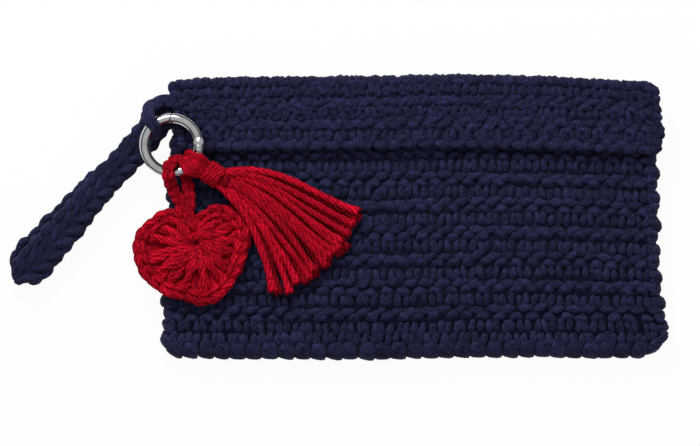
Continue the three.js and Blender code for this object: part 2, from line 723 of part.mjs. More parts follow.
const lastTurn = radians(SKIRT_LAST_ANGLE);
const skirtSway = new THREE.Vector3(-Math.sin(lastTurn), Math.cos(lastTurn), 0);

function onTassel(distance) {
  return tasselWire.clone().addScaledVector(coreHeading, distance);
}

// The folded strands round the wire form a sleeve about the wire's own direction.
function buildSleeve() {
  const bend = ringRadius - Math.sqrt(ringRadius ** 2 - (TASSEL_HEAD_WIDTH / 2) ** 2);
  const inner = wireRadius + GAP + bend;
  const outer = inner + TASSEL_HEAD_WALL;
  const half = TASSEL_HEAD_WIDTH / 2;
  const profile = [
    new THREE.Vector2(inner, -half),
    new THREE.Vector2(outer - TASSEL_HEAD_WALL / 2, -half),
    new THREE.Vector2(outer, -half / 2),
    new THREE.Vector2(outer, half / 2),
    new THREE.Vector2(outer - TASSEL_HEAD_WALL / 2, half),
    new THREE.Vector2(inner, half),
    new THREE.Vector2(inner, -half),
  ];
  const sleeve = new THREE.LatheGeometry(profile, 24);
  sleeve.rotateZ(radians(TASSEL_ANGLE));
  sleeve.translate(tasselWire.x, tasselWire.y, tasselWire.z);
  return { body: solid(sleeve), inner };
}

// Strands leave the neck together and fan out flat on the bag in two layers.
function strand(layer, share, length) {
  const angle = radians(THREE.MathUtils.lerp(SKIRT_FIRST_ANGLE, SKIRT_LAST_ANGLE, share));
  const aside = new THREE.Vector3(-tasselAlong.y, tasselAlong.x, 0);
  const packed = 0.85; // strands nest a little in the neck and on each other
  const offset = (0.5 - share) * (TASSEL_CORE_DIAMETER - STRAND_DIAMETER) * packed;
  const lift = (layer - 0.5) * (STRAND_DIAMETER / 2);
  const neck = onTassel(NECK_START + neckLength / 2);
  const start = neck.clone().addScaledVector(aside, offset);
  start.z += lift;
  const rim = onTassel(skirtStart).addScaledVector(aside, offset / packed);
  rim.z += lift;
  const low = frontClear + STRAND_DIAMETER / 2 + layer * STRAND_DIAMETER * packed;
  const end = new THREE.Vector3(neck.x + length * Math.cos(angle), neck.y + length * Math.sin(angle), low);
  const bow = SKIRT_SWAY * share ** 2;
  const sway = rim.clone().lerp(end, 0.36).addScaledVector(skirtSway, bow);
  sway.z = low + STRAND_DIAMETER / 6;
  const droop = rim.clone().lerp(end, 0.7).addScaledVector(skirtSway, bow / 2);
  droop.z = low;
  return solid(tube([start, rim, sway, droop, end], STRAND_DIAMETER, 6, 8));
}

function buildTasselStrands() {
  const { body, inner } = buildSleeve();
  const coreEnds = [onTassel(inner + TASSEL_HEAD_WALL / 2), onTassel(skirtStart)];
  let whole = body.add(solid(tube(coreEnds, TASSEL_CORE_DIAMETER, 14, 1)));
  for (let layer = 0; layer < 2; layer += 1) {
    const count = STRANDS_PER_LAYER - layer;
    for (let i = 0; i < count; i += 1) {
      const share = (i + layer / 2) / (STRANDS_PER_LAYER - 1);
      const uneven = ((i * 3 + layer) % 4) / 4;
      const full = THREE.MathUtils.lerp(SKIRT_LENGTH_LONG, SKIRT_LENGTH_SHORT, share);
      whole = whole.add(strand(layer, share, full - STRAND_UNEVEN * uneven));
    }
  }
  const skins = whole.decompose(); // pockets between strands are skins of their own
  skins.sort((a, b) => b.volume() - a.volume());
  return geometryOf(skins[0]);
}

function buildNeckWrap() {
  const stepsPerTurn = 24;
  const start = onTassel(NECK_START + NECK_YARN / 2);
  const radius = coreRadius + GAP + NECK_YARN / 2;
  const points = helix(start, coreHeading, radius, NECK_PITCH, NECK_TURNS, stepsPerTurn);
  console.log('tassel_neck_wrap self gap', selfGap(points, stepsPerTurn, NECK_YARN).toFixed(2));
  return windTube(points, NECK_YARN, 6);
}

addPart('back_panel', buildBack(), navy);
addPart('front_panel', buildFront(), navy);
addPart('bottom_fold', buildBottomFold(), navy);
addPart('side_seam_left', buildSeam(-1), navy);
addPart('side_seam_right', buildSeam(1), navy);
addPart('top_fold', buildTopFold(), navy);
addPart('flap_panel', buildFlap(), navy);
addPart('snap_stud', buildSnap(true), steel);
addPart('snap_socket', buildSnap(false), steel);
addPart('strap_root', buildStrapRoot(), navy);

const strap = new THREE.Group();
strap.position.set(STRAP_HINGE_X, strapHingeY, 0);
strap.rotation.z = radians(STRAP_ANGLE);
addPart('strap_loop', buildStrapLoop(), navy, strap);
bag.add(strap);

addPart('ring_body', geometryOf(buildRingBody()), steel);
addPart('ring_gate', geometryOf(buildGate()), steel);
addPart('gate_pin', buildPin(), steel);
addPart('gate_spring', buildSpring(), steel);

const heart = addPart('heart_charm', buildHeart(), red);
heart.position.copy(heartCentre);
heart.rotation.z = radians(HEART_TILT);
addPart('heart_loop', buildHeartLoop(), red);
addPart('tassel_strands', buildTasselStrands(), red);
addPart('tassel_neck_wrap', buildNeckWrap(), red);

export default bag;
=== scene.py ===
import math

import bpy
import numpy as np
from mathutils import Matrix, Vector


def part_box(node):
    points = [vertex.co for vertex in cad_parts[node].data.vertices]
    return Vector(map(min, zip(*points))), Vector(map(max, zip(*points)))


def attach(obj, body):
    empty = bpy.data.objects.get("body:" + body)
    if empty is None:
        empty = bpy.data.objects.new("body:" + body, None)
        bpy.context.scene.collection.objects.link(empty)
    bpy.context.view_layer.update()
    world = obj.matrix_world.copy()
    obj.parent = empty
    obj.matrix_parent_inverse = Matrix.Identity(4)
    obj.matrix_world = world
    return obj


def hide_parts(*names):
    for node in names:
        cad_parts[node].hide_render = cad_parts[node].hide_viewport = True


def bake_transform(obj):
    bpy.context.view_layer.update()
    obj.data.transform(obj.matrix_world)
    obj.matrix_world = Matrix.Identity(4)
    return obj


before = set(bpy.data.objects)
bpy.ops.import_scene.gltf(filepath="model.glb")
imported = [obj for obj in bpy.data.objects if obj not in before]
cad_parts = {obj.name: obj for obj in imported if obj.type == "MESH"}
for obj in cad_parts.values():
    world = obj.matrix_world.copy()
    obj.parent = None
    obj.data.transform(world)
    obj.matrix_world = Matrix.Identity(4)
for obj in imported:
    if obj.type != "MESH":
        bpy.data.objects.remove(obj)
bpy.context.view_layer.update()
mm = 0.001
rng = np.random.default_rng(11)  # every bit of unevenness comes from here
up = np.array([0, 0, 1.0])
north = np.array([0, 1.0, 0])  # towards the bag's top edge
print("frame loaded:", len(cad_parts), "nodes")


def nodeBox(node):  # lowest and highest corner in mm
    low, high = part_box(node)
    return np.array(low) / mm, np.array(high) / mm


def unit(vectors):
    return vectors / np.maximum(np.linalg.norm(vectors, axis=-1, keepdims=True), 1e-9)


def lerp(a, b, share):
    return a + (b - a) * share


def uneven(amount, shape=None):
    return rng.uniform(-amount, amount, shape)


def graph(x, pairs):  # a line drawn through (x, value) pairs
    return np.interp(x, *zip(*pairs))


def spots(x, y, z):
    return np.stack(np.broadcast_arrays(x, y, z), axis=-1)


def wholeTurn(sides):
    return np.linspace(0, math.tau, sides, endpoint=False)


def level(angle):  # a flat direction, from an angle in radians
    return np.array([math.cos(angle), math.sin(angle), 0])


def lengths(points):  # arc length up to every station
    steps = np.linalg.norm(np.diff(points, axis=-2), axis=-1)
    return np.concatenate([0 * steps[..., :1], np.cumsum(steps, axis=-1)], axis=-1)


def sample(distance, reach, rows):  # rows of values at some distances along a line
    return np.stack([np.interp(distance, reach, column) for column in rows.T], axis=-1)


def smoothPath(points, stations, closed=False):  # even stations on a Catmull-Rom curve
    points = np.asarray(points, float)
    if closed:
        points = np.concatenate([points[-1:], points, points[:2]])
    else:
        points = np.concatenate([[2 * points[0] - points[1]], points, [2 * points[-1] - points[-2]]])
    share = np.linspace(0, 1, 16, endpoint=False)[:, None]
    dense = []
    for a, b, c, d in zip(points, points[1:], points[2:], points[3:]):
        dense.append(0.5 * (2 * b + (c - a) * share + (2 * a - 5 * b + 4 * c - d) * share**2
                            + (3 * b - a - 3 * c + d) * share**3))
    dense = np.concatenate(dense + [points[-2:-1]])
    reach = lengths(dense)
    return sample(np.linspace(0, reach[-1], stations + closed)[:stations], reach, dense)


class YarnPile:  # gathers the strands and cores of one piece
    lumps = ((2, 0.9), (3, -1.3), (0, 1.7))  # waves round and along a soft cord
    shades = (0.78, 1.16)  # darkest and brightest strand
    pressed = 0.3  # what is left of a bulge below the table

    def __init__(self):
        self.points, self.twist, self.shade, self.corners, self.sizes = [], [], [], [], []
        self.count = 0

    def addFaces(self, faces):
        self.corners.append(faces.reshape(-1))
        self.sizes.append(np.full(len(faces), faces.shape[1]))

    def addTubes(self, rings, twist, shade, closed=False):  # rings are (tubes, stations, sides, 3)
        index = self.count + np.arange(rings[..., 0].size).reshape(rings.shape[:3])
        self.count += index.size
        self.points.append(rings.reshape(-1, 3))
        self.twist.append(np.broadcast_to(twist, rings.shape).reshape(-1, 3))
        self.shade.append(np.broadcast_to(shade, index.shape).reshape(-1))
        here = index if closed else index[:, :-1]
        after = np.roll(index, -1, axis=1) if closed else index[:, 1:]
        quads = [here, np.roll(here, -1, axis=2), np.roll(after, -1, axis=2), after]
        self.addFaces(np.stack(quads, axis=-1).reshape(-1, 4))
        if not closed:
            self.addFaces(index[:, 0, ::-1])
            self.addFaces(index[:, -1])

    # Sweeps round sections along one path or several (strands, stations, 3), all in mm
    def strands(self, paths, radius, sides=7, flat=1.0, outward=up, plies=0, plyDepth=0.0,
                lay=0.0, closed=False, tone=1.0, lump=0.0, square=2.0):
        paths = np.asarray(paths, float)
        paths = paths[None] if paths.ndim == 2 else paths
        count, stations = paths.shape[:2]
        radius = np.broadcast_to(np.asarray(radius, float), (count, stations))
        if closed:
            along = unit(np.roll(paths, -1, axis=1) - np.roll(paths, 1, axis=1))
        else:
            along = unit(np.gradient(paths, axis=1))
        reach = lengths(paths)[..., None]
        guide = np.broadcast_to(np.asarray(outward, float), (count, 3))
        normal = np.zeros_like(paths)
        for i in range(stations):
            guide = unit(guide - along[:, i] * np.sum(guide * along[:, i], axis=1, keepdims=True))
            normal[:, i] = guide
        side = np.cross(along, normal)
        turn = wholeTurn(sides)
        swell = 1 + plyDepth * np.cos(plies * turn - lay * reach)
        if lump:
            phases = rng.uniform(0, math.tau, (3, count, 1, 1))
            for (around, onward), phase in zip(self.lumps, phases):
                swell = swell + lump * np.sin(around * turn + onward * reach + phase)
        boxy = (np.abs(np.cos(turn)) ** square + np.abs(np.sin(turn)) ** square) ** (-1 / square)
        out = radius[..., None] * swell * boxy
        rings = paths[:, :, None] + (out * np.cos(turn) * flat)[..., None] * normal[:, :, None]
        rings = rings + (out * np.sin(turn))[..., None] * side[:, :, None]
        # A strand's shade is a random tone times the given tone, which callers set below 1 on cores and under
        # layers as painted shade.
        shade = tone * rng.uniform(*self.shades, (count, 1, 1))
        self.addTubes(rings, spots(np.cos(turn), np.sin(turn), reach), shade, closed)

    # A loft's default tone of 0.8 paints a core darker than the stitches over it: painted shade.
    def loft(self, rings, tone=0.8):  # skins equal rings of points as one closed body
        self.addTubes(np.asarray(rings, float)[None], (1, 0, 0), tone)

    def build(self, name, body, finish, nodes=(), settle=None):
        material, slot = finish
        mesh = bpy.data.meshes.new(name)
        points = np.concatenate(self.points)
        points = settle(points) if settle else points
        points[:, 2] = np.where(points[:, 2] < 0, self.pressed * points[:, 2], points[:, 2])
        points = points * mm
        corners = np.concatenate(self.corners).astype(np.int32)
        sizes = np.concatenate(self.sizes)
        starts = np.concatenate([[0], np.cumsum(sizes)[:-1]]).astype(np.int32)
        mesh.vertices.add(len(points))
        mesh.vertices.foreach_set("co", points.astype(np.float32).ravel())
        mesh.loops.add(len(corners))
        mesh.loops.foreach_set("vertex_index", corners)
        mesh.polygons.add(len(sizes))
        mesh.polygons.foreach_set("loop_start", starts)
        mesh.polygons.foreach_set("use_smooth", np.ones(len(sizes), dtype=bool))
        mesh.update(calc_edges=True)
        for key, kind, field, values in (("twist", "FLOAT_VECTOR", "vector", self.twist),
                                         ("shade", "FLOAT", "value", self.shade)):
            layer = mesh.attributes.new(key, kind, "POINT")
            layer.data.foreach_set(field, np.concatenate(values).astype(np.float32).ravel())
        mesh.materials.append(material)
        piece = bpy.data.objects.new(name, mesh)
        bpy.context.scene.collection.objects.link(piece)
        if body:
            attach(piece, body)
        if nodes:
            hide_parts(*nodes)
        print("built", name, len(points), "points")
        return piece


# Materials

class Sock:  # one shader socket, with the maths written as Python
    def __init__(self, shader, socket):
        self.shader, self.socket = shader, socket

    def other(self, output):  # another output of the same node
        return Sock(self.shader, self.socket.node.outputs[output])

    def maths(self, operation, a, b=0.0):
        return self.shader.node("ShaderNodeMath", {"operation": operation}, {0: a, 1: b})

    def __add__(self, other):
        return self.maths("ADD", self, other)

    def __radd__(self, other):
        return self.maths("ADD", other, self)

    def __sub__(self, other):
        return self.maths("SUBTRACT", self, other)

    def __rsub__(self, other):
        return self.maths("SUBTRACT", other, self)

    def __mul__(self, other):
        return self.maths("MULTIPLY", self, other)

    def __rmul__(self, other):
        return self.maths("MULTIPLY", other, self)


class Shader:
    def __init__(self, name, kind="materials"):
        self.material = getattr(bpy.data, kind).new(name)
        self.material.use_nodes = True
        self.tree = self.material.node_tree
        self.tree.nodes.clear()

    def node(self, kind, settings=None, values=None, out=0):
        made = self.tree.nodes.new(kind)
        for key, value in (settings or {}).items():
            if key == "stops":
                ramp = made.color_ramp
                while len(ramp.elements) < len(value):
                    ramp.elements.new(0.5)
                for element, (place, colour) in zip(ramp.elements, value):
                    element.position, element.color = place, (*colour, 1)
            else:
                setattr(made, key, value)
        for key, value in (values or {}).items():
            socket = made.inputs[key]
            if isinstance(value, Sock):
                self.tree.links.new(value.socket, socket)
            elif socket.type == "RGBA":
                socket.default_value = (*value, 1)
            else:
                socket.default_value = value
        return Sock(self, made.outputs[out]) if made.outputs else None

    def mix(self, share, first, second):  # of two colours
        return self.node("ShaderNodeMix", {"data_type": "RGBA"}, {0: share, 6: first, 7: second}, 2)

    def noise(self, at, scale, detail):
        return self.node("ShaderNodeTexNoise", {}, {"Vector": at, "Scale": scale, "Detail": detail})

    def bump(self, height, strength, depth):
        return self.node("ShaderNodeBump", {}, {"Strength": strength, "Distance": depth, "Height": height})

    def finish(self, surface, output="ShaderNodeOutputMaterial"):
        self.node(output, {}, {"Surface": surface})
        return self.material


yarnLook = {"fibreAcross": 2.4, "fibreAlong": 0.6, "strandJump": 40.0, "bump": 0.7, "bumpDepth": 0.0006,
            "roughSpread": 0.12, "sheenRough": 0.45}
navyLook = {
    **yarnLook, "deep": (0.0110, 0.0120, 0.046), "bright": (0.0225, 0.0240, 0.076), "plies": 3, "lay": 0.9,
    "plyGrooveShade": 0.25, "fibreSlant": 1.1, "blotchScale": 140.0, "plyHeight": 0.6, "fibreHeight": 1.3,
    "rough": 0.80, "gloss": 0.15, "sheen": 0.10, "sheenTint": (0.40, 0.41, 0.62), "streak": 3.8,
}
redLook = {
    **yarnLook, "deep": (0.30, 0.0014, 0.011), "bright": (0.72, 0.0050, 0.028), "plies": 4, "lay": 1.35,
    "plyGrooveShade": 0.46, "fibreSlant": 0.9, "blotchScale": 120.0, "plyHeight": 1.0, "fibreHeight": 0.9,
    "rough": 0.72, "gloss": 0.05, "sheen": 0.02, "sheenTint": (1.0, 0.30, 0.36), "streak": 3.4,
}


def yarnMaterial(name, look):
    shader = Shader(name)
    twist = shader.node("ShaderNodeAttribute", {"attribute_name": "twist"}, out=1)
    shade = shader.node("ShaderNodeAttribute", {"attribute_name": "shade"}, out=2)
    parts = shader.node("ShaderNodeSeparateXYZ", {}, {0: twist})
    around = parts.maths("ARCTAN2", parts.other(1), parts)
    along = parts.other(2)
    phase = around * look["plies"] - along * look["lay"]
    ply = phase.maths("COSINE", phase) * 0.5 + 0.5
    drift = around * look["fibreAcross"] + along * look["fibreSlant"]
    fibreAt = shader.node("ShaderNodeCombineXYZ", {}, {
        0: drift, 1: along * look["fibreAlong"], 2: shade * look["strandJump"]})
    fibre = shader.noise(fibreAt, 1.0, 3.0)
    blotch = shader.noise(shader.node("ShaderNodeTexCoord", out=3), look["blotchScale"], 2.0)
    streaks = 1 + look["streak"] * (fibre - 0.5)
    # The base colour is darkened in the grooves between plies: painted shade. The shade attribute scales it,
    # and the fibre streaks are random tone.
    tone = shade * (1 - look["plyGrooveShade"] + look["plyGrooveShade"] * ply) * streaks
    colour = shader.mix(blotch, look["deep"], look["bright"])
    toned = shader.node("ShaderNodeVectorMath", {"operation": "SCALE"}, {0: colour, 3: tone})
    height = ply * look["plyHeight"] + fibre * look["fibreHeight"]
    surface = shader.node("ShaderNodeBsdfPrincipled", {}, {
        "Base Color": toned, "Roughness": look["rough"] + look["roughSpread"] * fibre,
        "Normal": shader.bump(height, look["bump"], look["bumpDepth"]), "Specular IOR Level": look["gloss"],
        "Sheen Weight": look["sheen"], "Sheen Roughness": look["sheenRough"],
        "Sheen Tint": look["sheenTint"]})
    return shader.finish(surface)


steelLook = {"scuffBump": 0.05, "scuffDepth": 0.0002}
ringLook = {**steelLook, "dull": (0.40, 0.41, 0.42), "bright": (0.70, 0.71, 0.72), "rough": 0.06,
            "roughSpread": 0.16, "scuffScale": 900.0, "smearScale": 160.0}
snapLook = {**steelLook, "dull": (0.42, 0.42, 0.44), "bright": (0.60, 0.60, 0.62), "rough": 0.28,
            "roughSpread": 0.3, "scuffScale": 1400.0, "smearScale": 300.0}


def steelMaterial(name, look):
    shader = Shader(name)
    coords = shader.node("ShaderNodeTexCoord", out=3)
    scuff = shader.noise(coords, look["scuffScale"], 4.0)
    smear = shader.noise(coords, look["smearScale"], 2.0)
    surface = shader.node("ShaderNodeBsdfPrincipled", {}, {
        "Base Color": shader.mix(smear, look["dull"], look["bright"]), "Metallic": 1.0,
        "Roughness": look["rough"] + look["roughSpread"] * smear * scuff,
        "Normal": shader.bump(scuff, look["scuffBump"], look["scuffDepth"])})
    return shader.finish(surface)


navy = (yarnMaterial("navy_cotton_cord", navyLook), "navy_yarn")
red = (yarnMaterial("red_cotton_yarn", redLook), "red_yarn")
steel = (steelMaterial("polished_ring", ringLook), "steel")
snapSteel = steelMaterial("snap_metal", snapLook)
print("materials made")


# The crocheted fabric of the bag

frontLow, frontHigh = nodeBox("front_panel")
backLow, backHigh = nodeBox("back_panel")
flapLow, flapHigh = nodeBox("flap_panel")
foldLow, foldHigh = nodeBox("top_fold")
topY, bottomY = foldHigh[1], nodeBox("bottom_fold")[0][1]
flapEnd, flapFace = flapLow[1], flapHigh[2]

crochet = {
    "stitches": 30, "band": 13.4, "firstGroove": frontLow[1] + 6.7, "cord": 2.0, "inset": 4.5, "mouthY": 60,
    "topHalf": 120.5, "bottomHalf": 127.5, "turn": 2.5, "bottomTurn": 7.5, "coreStations": 15,
    "flapLeft": (123.0, 116.5), "flapRight": (122.5, 124.2, 120.5), "flapKnob": (0.65, 0.12, 1.7),
    "snapClear": 8.6, "snapY": flapEnd + 10, "bandMiddle": 8, "bandHalf": 6,
}
legs = ("leftLeg", "rightLeg")
grooves = [crochet["firstGroove"] + crochet["band"] * k for k in range(10)]


class Skin:  # an outer surface drawn as a line in two directions, with arc length and outward normal
    def __init__(self, points):
        self.points = np.array(points, float)
        self.reach = lengths(self.points)
        along = unit(np.gradient(self.points, self.reach, axis=0))
        self.normal = np.stack([along[:, 1], -along[:, 0]], axis=1)

    def at(self, distance, lift):
        spot, out = [sample(distance, self.reach, rows) for rows in (self.points, self.normal)]
        return spot + lift[..., None] * out / np.hypot(out[..., :1], out[..., 1:])


def line(start, end, steps=40):
    shares = np.linspace(0, 1, steps, endpoint=False)
    return [(lerp(start[0], end[0], t), lerp(start[1], end[1], t)) for t in shares]


def arc(centre, radii, fromAngle, toAngle, steps=16):
    turns = np.radians(np.linspace(fromAngle, toAngle, steps, endpoint=False))
    return [(centre[0] + radii[0] * math.cos(t), centre[1] + radii[1] * math.sin(t)) for t in turns]


# Front down, round the bottom, up the back, over the top fold and down the flap, as (y, z)
turn, bottomTurn = crochet["turn"], crochet["bottomTurn"]
foldY, bottomCentre = topY - turn, bottomY + bottomTurn
half = frontHigh[2] / 2
parts = [
    line((frontHigh[1], frontHigh[2]), (bottomCentre, frontHigh[2])),
    arc((bottomCentre, half), (bottomTurn, half), 90, 270, 24),
    line((bottomCentre, 0), (foldY, 0)),
    arc((foldY, turn), (turn, turn), -90, 0) + line((topY, turn), (topY, flapFace - turn), 12)
    + arc((foldY, flapFace - turn), (turn, turn), 0, 90),
    line((foldY, flapFace), (flapEnd + turn, flapFace))
    + arc((flapEnd + turn, flapFace - turn), (turn, turn), 90, 270)]
skin = Skin(sum(parts, []))
bottomStart, backStart, foldStart, flapStart = skin.reach[np.cumsum([len(part) for part in parts[:4]])]


def onFront(y):
    return frontHigh[1] - y


def onBack(y):
    return backStart + y - bottomCentre


def onFlap(y):
    return flapStart + foldY - y


def bodyHalf(y):
    return lerp(crochet["bottomHalf"], crochet["topHalf"], (y - bottomY) / (topY - bottomY))


def flapEdges(y, inset=0.0):
    share = np.clip((foldY - y) / (foldY - flapEnd), 0, 1)
    left = lerp(*crochet["flapLeft"], share)
    top, bulge, end = crochet["flapRight"]
    right = (1 - share) ** 2 * top + 2 * share * (1 - share) * bulge + share**2 * end
    at, wide, out = crochet["flapKnob"]
    right = right + out * np.exp(-(((share - at) / wide) ** 2))
    return -left + inset, right - inset


# The soft bag's edges droop a little, by these (x, shift) pairs in mm
slack = {
    "top": [(-122, -2.4), (-97, -1.2), (-57, -0.8), (-17, -0.3), (23, 0.3), (63, -0.5), (83, -1.5),
            (103, -2.6), (115, -3.2), (122, -4.8)],
    "bottom": [(-125, 0.0), (-97, -1.0), (-20, -1.2), (20, -0.4), (60, 0.0), (90, -0.5), (122, -0.6)],
    "right": [(-70, -0.8), (-64, 0.6), (-57, 1.8), (-50, 0.6), (-44, -0.4), (-36, -1.4), (-10, -1.4),
              (20, 0.0), (50, 0.6), (70, 0.0)],
    "rightFrom": 70, "rightOver": 50, "cornerWide": (11.0, 17.0), "cornerTall": 18.0,
    "cornerRise": (4.5, 7.5),
}


def settled(points):
    x, y, z = points.T
    upper = np.clip((y - bottomY) / (topY - bottomY), 0, 1)
    drop = lerp(graph(x, slack["bottom"]), graph(x, slack["top"]), upper)
    pull = graph(y, slack["right"]) * np.clip((x - slack["rightFrom"]) / slack["rightOver"], 0, 1)
    right = (x > 0).astype(int)
    wide, rise = np.array(slack["cornerWide"])[right], np.array(slack["cornerRise"])[right]
    corner = np.clip((np.abs(x) - crochet["bottomHalf"]) / wide + 1, 0, 1) ** 2
    low = np.clip(1 - (y - bottomY) / slack["cornerTall"], 0, 1)
    return np.stack([x + pull, y + drop + rise * corner * low, z], axis=1)


def onSkin(x, distance, lift):
    spot = skin.at(distance, lift)
    return spots(x, spot[..., 0], spot[..., 1])


def underFlap(x, distance, lift):  # the flap's inner face, distance from the fold
    return spots(x, foldY - distance, flapLow[2] - lift)


def insideFold(x, distance, lift):  # the top fold's inner face, distance from the back
    return spots(x, foldLow[1] - lift, turn + distance)


def insideBack(x, distance, lift):  # the back's inner face, distance from the fold
    return spots(x, foldY - distance, backHigh[2] + lift)


# One stitch of each kind: reach, drop of the ends and looseness in mm, sink and thickness in cords
stitch = {
    "looseX": 0.85, "looseY": 0.6, "looseLift": 0.3, "wave": 0.7, "waveLength": 31, "waveStep": 0.7,
    "cords": (0.82, 1.12), "lump": 0.1, "thick": 1.18, "taper": 0.42,
    "barReach": 3.5, "barLoose": 0.4, "barTurn": 22, "barSink": 1.1, "barDip": 2.0, "barLift": 0.35,
    "capReach": 2.45, "capTurn": 24, "capRise": 1.0, "capArch": 2.6, "capSink": 0.80, "capDip": 3.4,
    "legApart": 2.05, "legClose": 0.15, "legLean": 0.8, "legReach": 2.8, "legLoose": 0.3, "legSink": 0.95,
    "legDip": 0.9, "legThick": 1.02, "legHead": 0.36, "legFoot": 0.2,
}


# One row of one kind of stitch, square to the fabric: place maps (x, distance, lift) to the bag
def bumpRow(pile, kind, xs, distance, outward, place=onSkin, size=1.0, tilt=0, sides=7, snapGap=math.inf):
    xs = xs[np.hypot(xs, snapGap) > crochet["snapClear"]][:, None]  # none where a snap half sits
    each = xs.shape
    t = np.linspace(-1, 1, 7)[None]
    xc = xs + uneven(stitch["looseX"], each)
    wave = stitch["wave"] * np.sin(xs / stitch["waveLength"] + distance * stitch["waveStep"])
    dc = distance + wave + uneven(stitch["looseY"], each)
    cord = crochet["cord"] * size * rng.uniform(*stitch["cords"], each)
    radius = cord * stitch["thick"] * (1 - stitch["taper"] * np.abs(t) ** 3)
    if kind == "bar":
        angle = np.radians(tilt + uneven(stitch["barTurn"], each))
        reach = stitch["barReach"] + uneven(stitch["barLoose"], each)
        x = xc + reach * t * np.cos(angle)
        d = dc - reach * t * np.sin(angle)
        lift = -cord * stitch["barSink"] - stitch["barDip"] * t**2 + uneven(stitch["barLift"], each)
    elif kind == "cap":
        lean = np.radians(uneven(stitch["capTurn"], each))
        x = xc + stitch["capReach"] * t
        d = dc - stitch["capRise"] + stitch["capArch"] * t**2 - stitch["capArch"] * t * np.sin(lean)
        lift = -cord * stitch["capSink"] - stitch["capDip"] * np.abs(t) ** 2.5
        lift = lift + uneven(stitch["looseLift"], each)
    else:  # one of the two legs
        side = 1 if kind == "rightLeg" else -1
        low = (t + 1) / 2
        lean = uneven(stitch["legLean"], each)
        x = xc + side * (stitch["legApart"] - stitch["legClose"] * low**2) + lean * t
        d = dc + stitch["legReach"] * t + uneven(stitch["legLoose"], each)
        dip = stitch["legDip"]
        lift = -cord * stitch["legSink"] - dip * t**2 - dip * low**3 + uneven(stitch["looseLift"], each)
        thin = 1 - stitch["legHead"] * (1 - low) ** 3 - stitch["legFoot"] * low**3
        radius = cord * stitch["legThick"] * thin
    pile.strands(place(x, d, lift), radius, sides=sides, outward=outward, lump=stitch["lump"])


def stitchPlaces(left, right, shift=0.0, extra=0):
    count = crochet["stitches"] + extra
    pitch = (right - left) / count
    return left + pitch * (np.arange(count) + 0.5 + shift)


# A band of two rows: slanted bars, then caps on pairs of legs
def band(pile, xs, between, distances, outward, tilt=8, capSize=1.0, **more):
    bars, caps, low = distances
    bumpRow(pile, "bar", between, bars, outward, tilt=tilt, **more)
    bumpRow(pile, "cap", xs, caps, outward, size=capSize, **more)
    for leg in legs:
        bumpRow(pile, leg, xs, low, outward, **more)


bandRows = np.array([2.3, 6.0, 10.7])  # below the upper groove


def panelBand(pile, groove, distance, outward, **more):
    reach = bodyHalf(groove) - crochet["inset"]
    shift = rng.uniform(-0.2, 0.2)
    xs = stitchPlaces(-reach, reach, shift)
    between = stitchPlaces(-reach, reach, shift + 0.5 if shift < 0 else shift - 0.5)
    band(pile, xs, between, distance + bandRows, outward, **more)


# A backing is painted darker than its stitches by its tone: painted shade in the gaps between them.
def backing(pile, outline, low, high, tone=0.8):  # a flat core under the stitches
    pile.loft([[(x, y, z) for x, y in outline] for z in (low, high)], tone)


# The flat cores keep clear of the stitches on both faces, and the inner rows are seen in the mouth
panels = {
    "coreInset": 4, "coreBelow": 2, "frontBelowTop": 1, "backAboveTop": 1.8, "frontCore": (0.4, 3.2),
    "backCore": (3.2, 0.3), "rimDown": 1.4, "rimSize": 0.9, "innerInset": 5, "innerSize": 0.85,
    "innerRows": [("bar", 0.8), ("cap", 4.0), ("leftLeg", 7.4), ("rightLeg", 7.4), ("bar", 11.0)],
}


def panelOutline(bottom, top):
    places = np.linspace(-1, 1, crochet["coreStations"])
    outline = []
    for y, row in ((bottom - panels["coreBelow"], places), (top, places[::-1])):
        outline += [(place * (bodyHalf(y) - panels["coreInset"]), y) for place in row]
    return outline


def makeFront():
    pile = YarnPile()
    outline = panelOutline(frontLow[1], frontHigh[1] - panels["frontBelowTop"])
    inner, outer = panels["frontCore"]
    # The front's core is painted darker still: painted shade in the holes between the stitches.
    backing(pile, outline, frontLow[2] + inner, frontHigh[2] - outer, tone=0.6)
    near = crochet["bandHalf"]
    for groove in grooves[1:]:
        off = abs(groove - crochet["bandMiddle"] - crochet["snapY"])
        gap = max(0, off - near) if off < 2 * near else math.inf
        panelBand(pile, groove, onFront(groove), up, snapGap=gap)
    reach = bodyHalf(crochet["mouthY"]) - crochet["inset"]
    rim = onFront(frontHigh[1] - panels["rimDown"])
    bumpRow(pile, "bar", stitchPlaces(-reach, reach), rim, up, size=panels["rimSize"], tilt=4)
    pile.build("front_stitches", "pouch", navy, ["front_panel"], settled)


def makeBack():
    pile = YarnPile()
    outer, inner = panels["backCore"]
    outline = panelOutline(backLow[1], backHigh[1] + panels["backAboveTop"])
    # The back's core keeps the darker default tone: painted shade between the stitches.
    backing(pile, outline, outer, backHigh[2] - inner)
    for groove in grooves[:-1]:
        panelBand(pile, groove, onBack(groove), -up, sides=6)
    reach = bodyHalf(crochet["mouthY"]) - panels["innerInset"]
    xs = stitchPlaces(-reach, reach)
    for kind, distance in panels["innerRows"]:
        bumpRow(pile, kind, xs, distance, up, place=insideBack, size=panels["innerSize"], tilt=6, sides=6)
    pile.build("back_stitches", "pouch", navy, ["back_panel"], settled)


# Broad blocks that turn round the bottom edge, under a row of upright legs
bottomRow = {"inset": 3.2, "reach": 13.2, "lean": 0.7, "width": 4.25, "thick": 0.52, "sink": 2.1,
             "endDip": 0.9, "endThin": 0.32, "legsY": bottomY + 10.0, "legSize": 1.16,
             "core": 4.8, "coreEnd": 3}


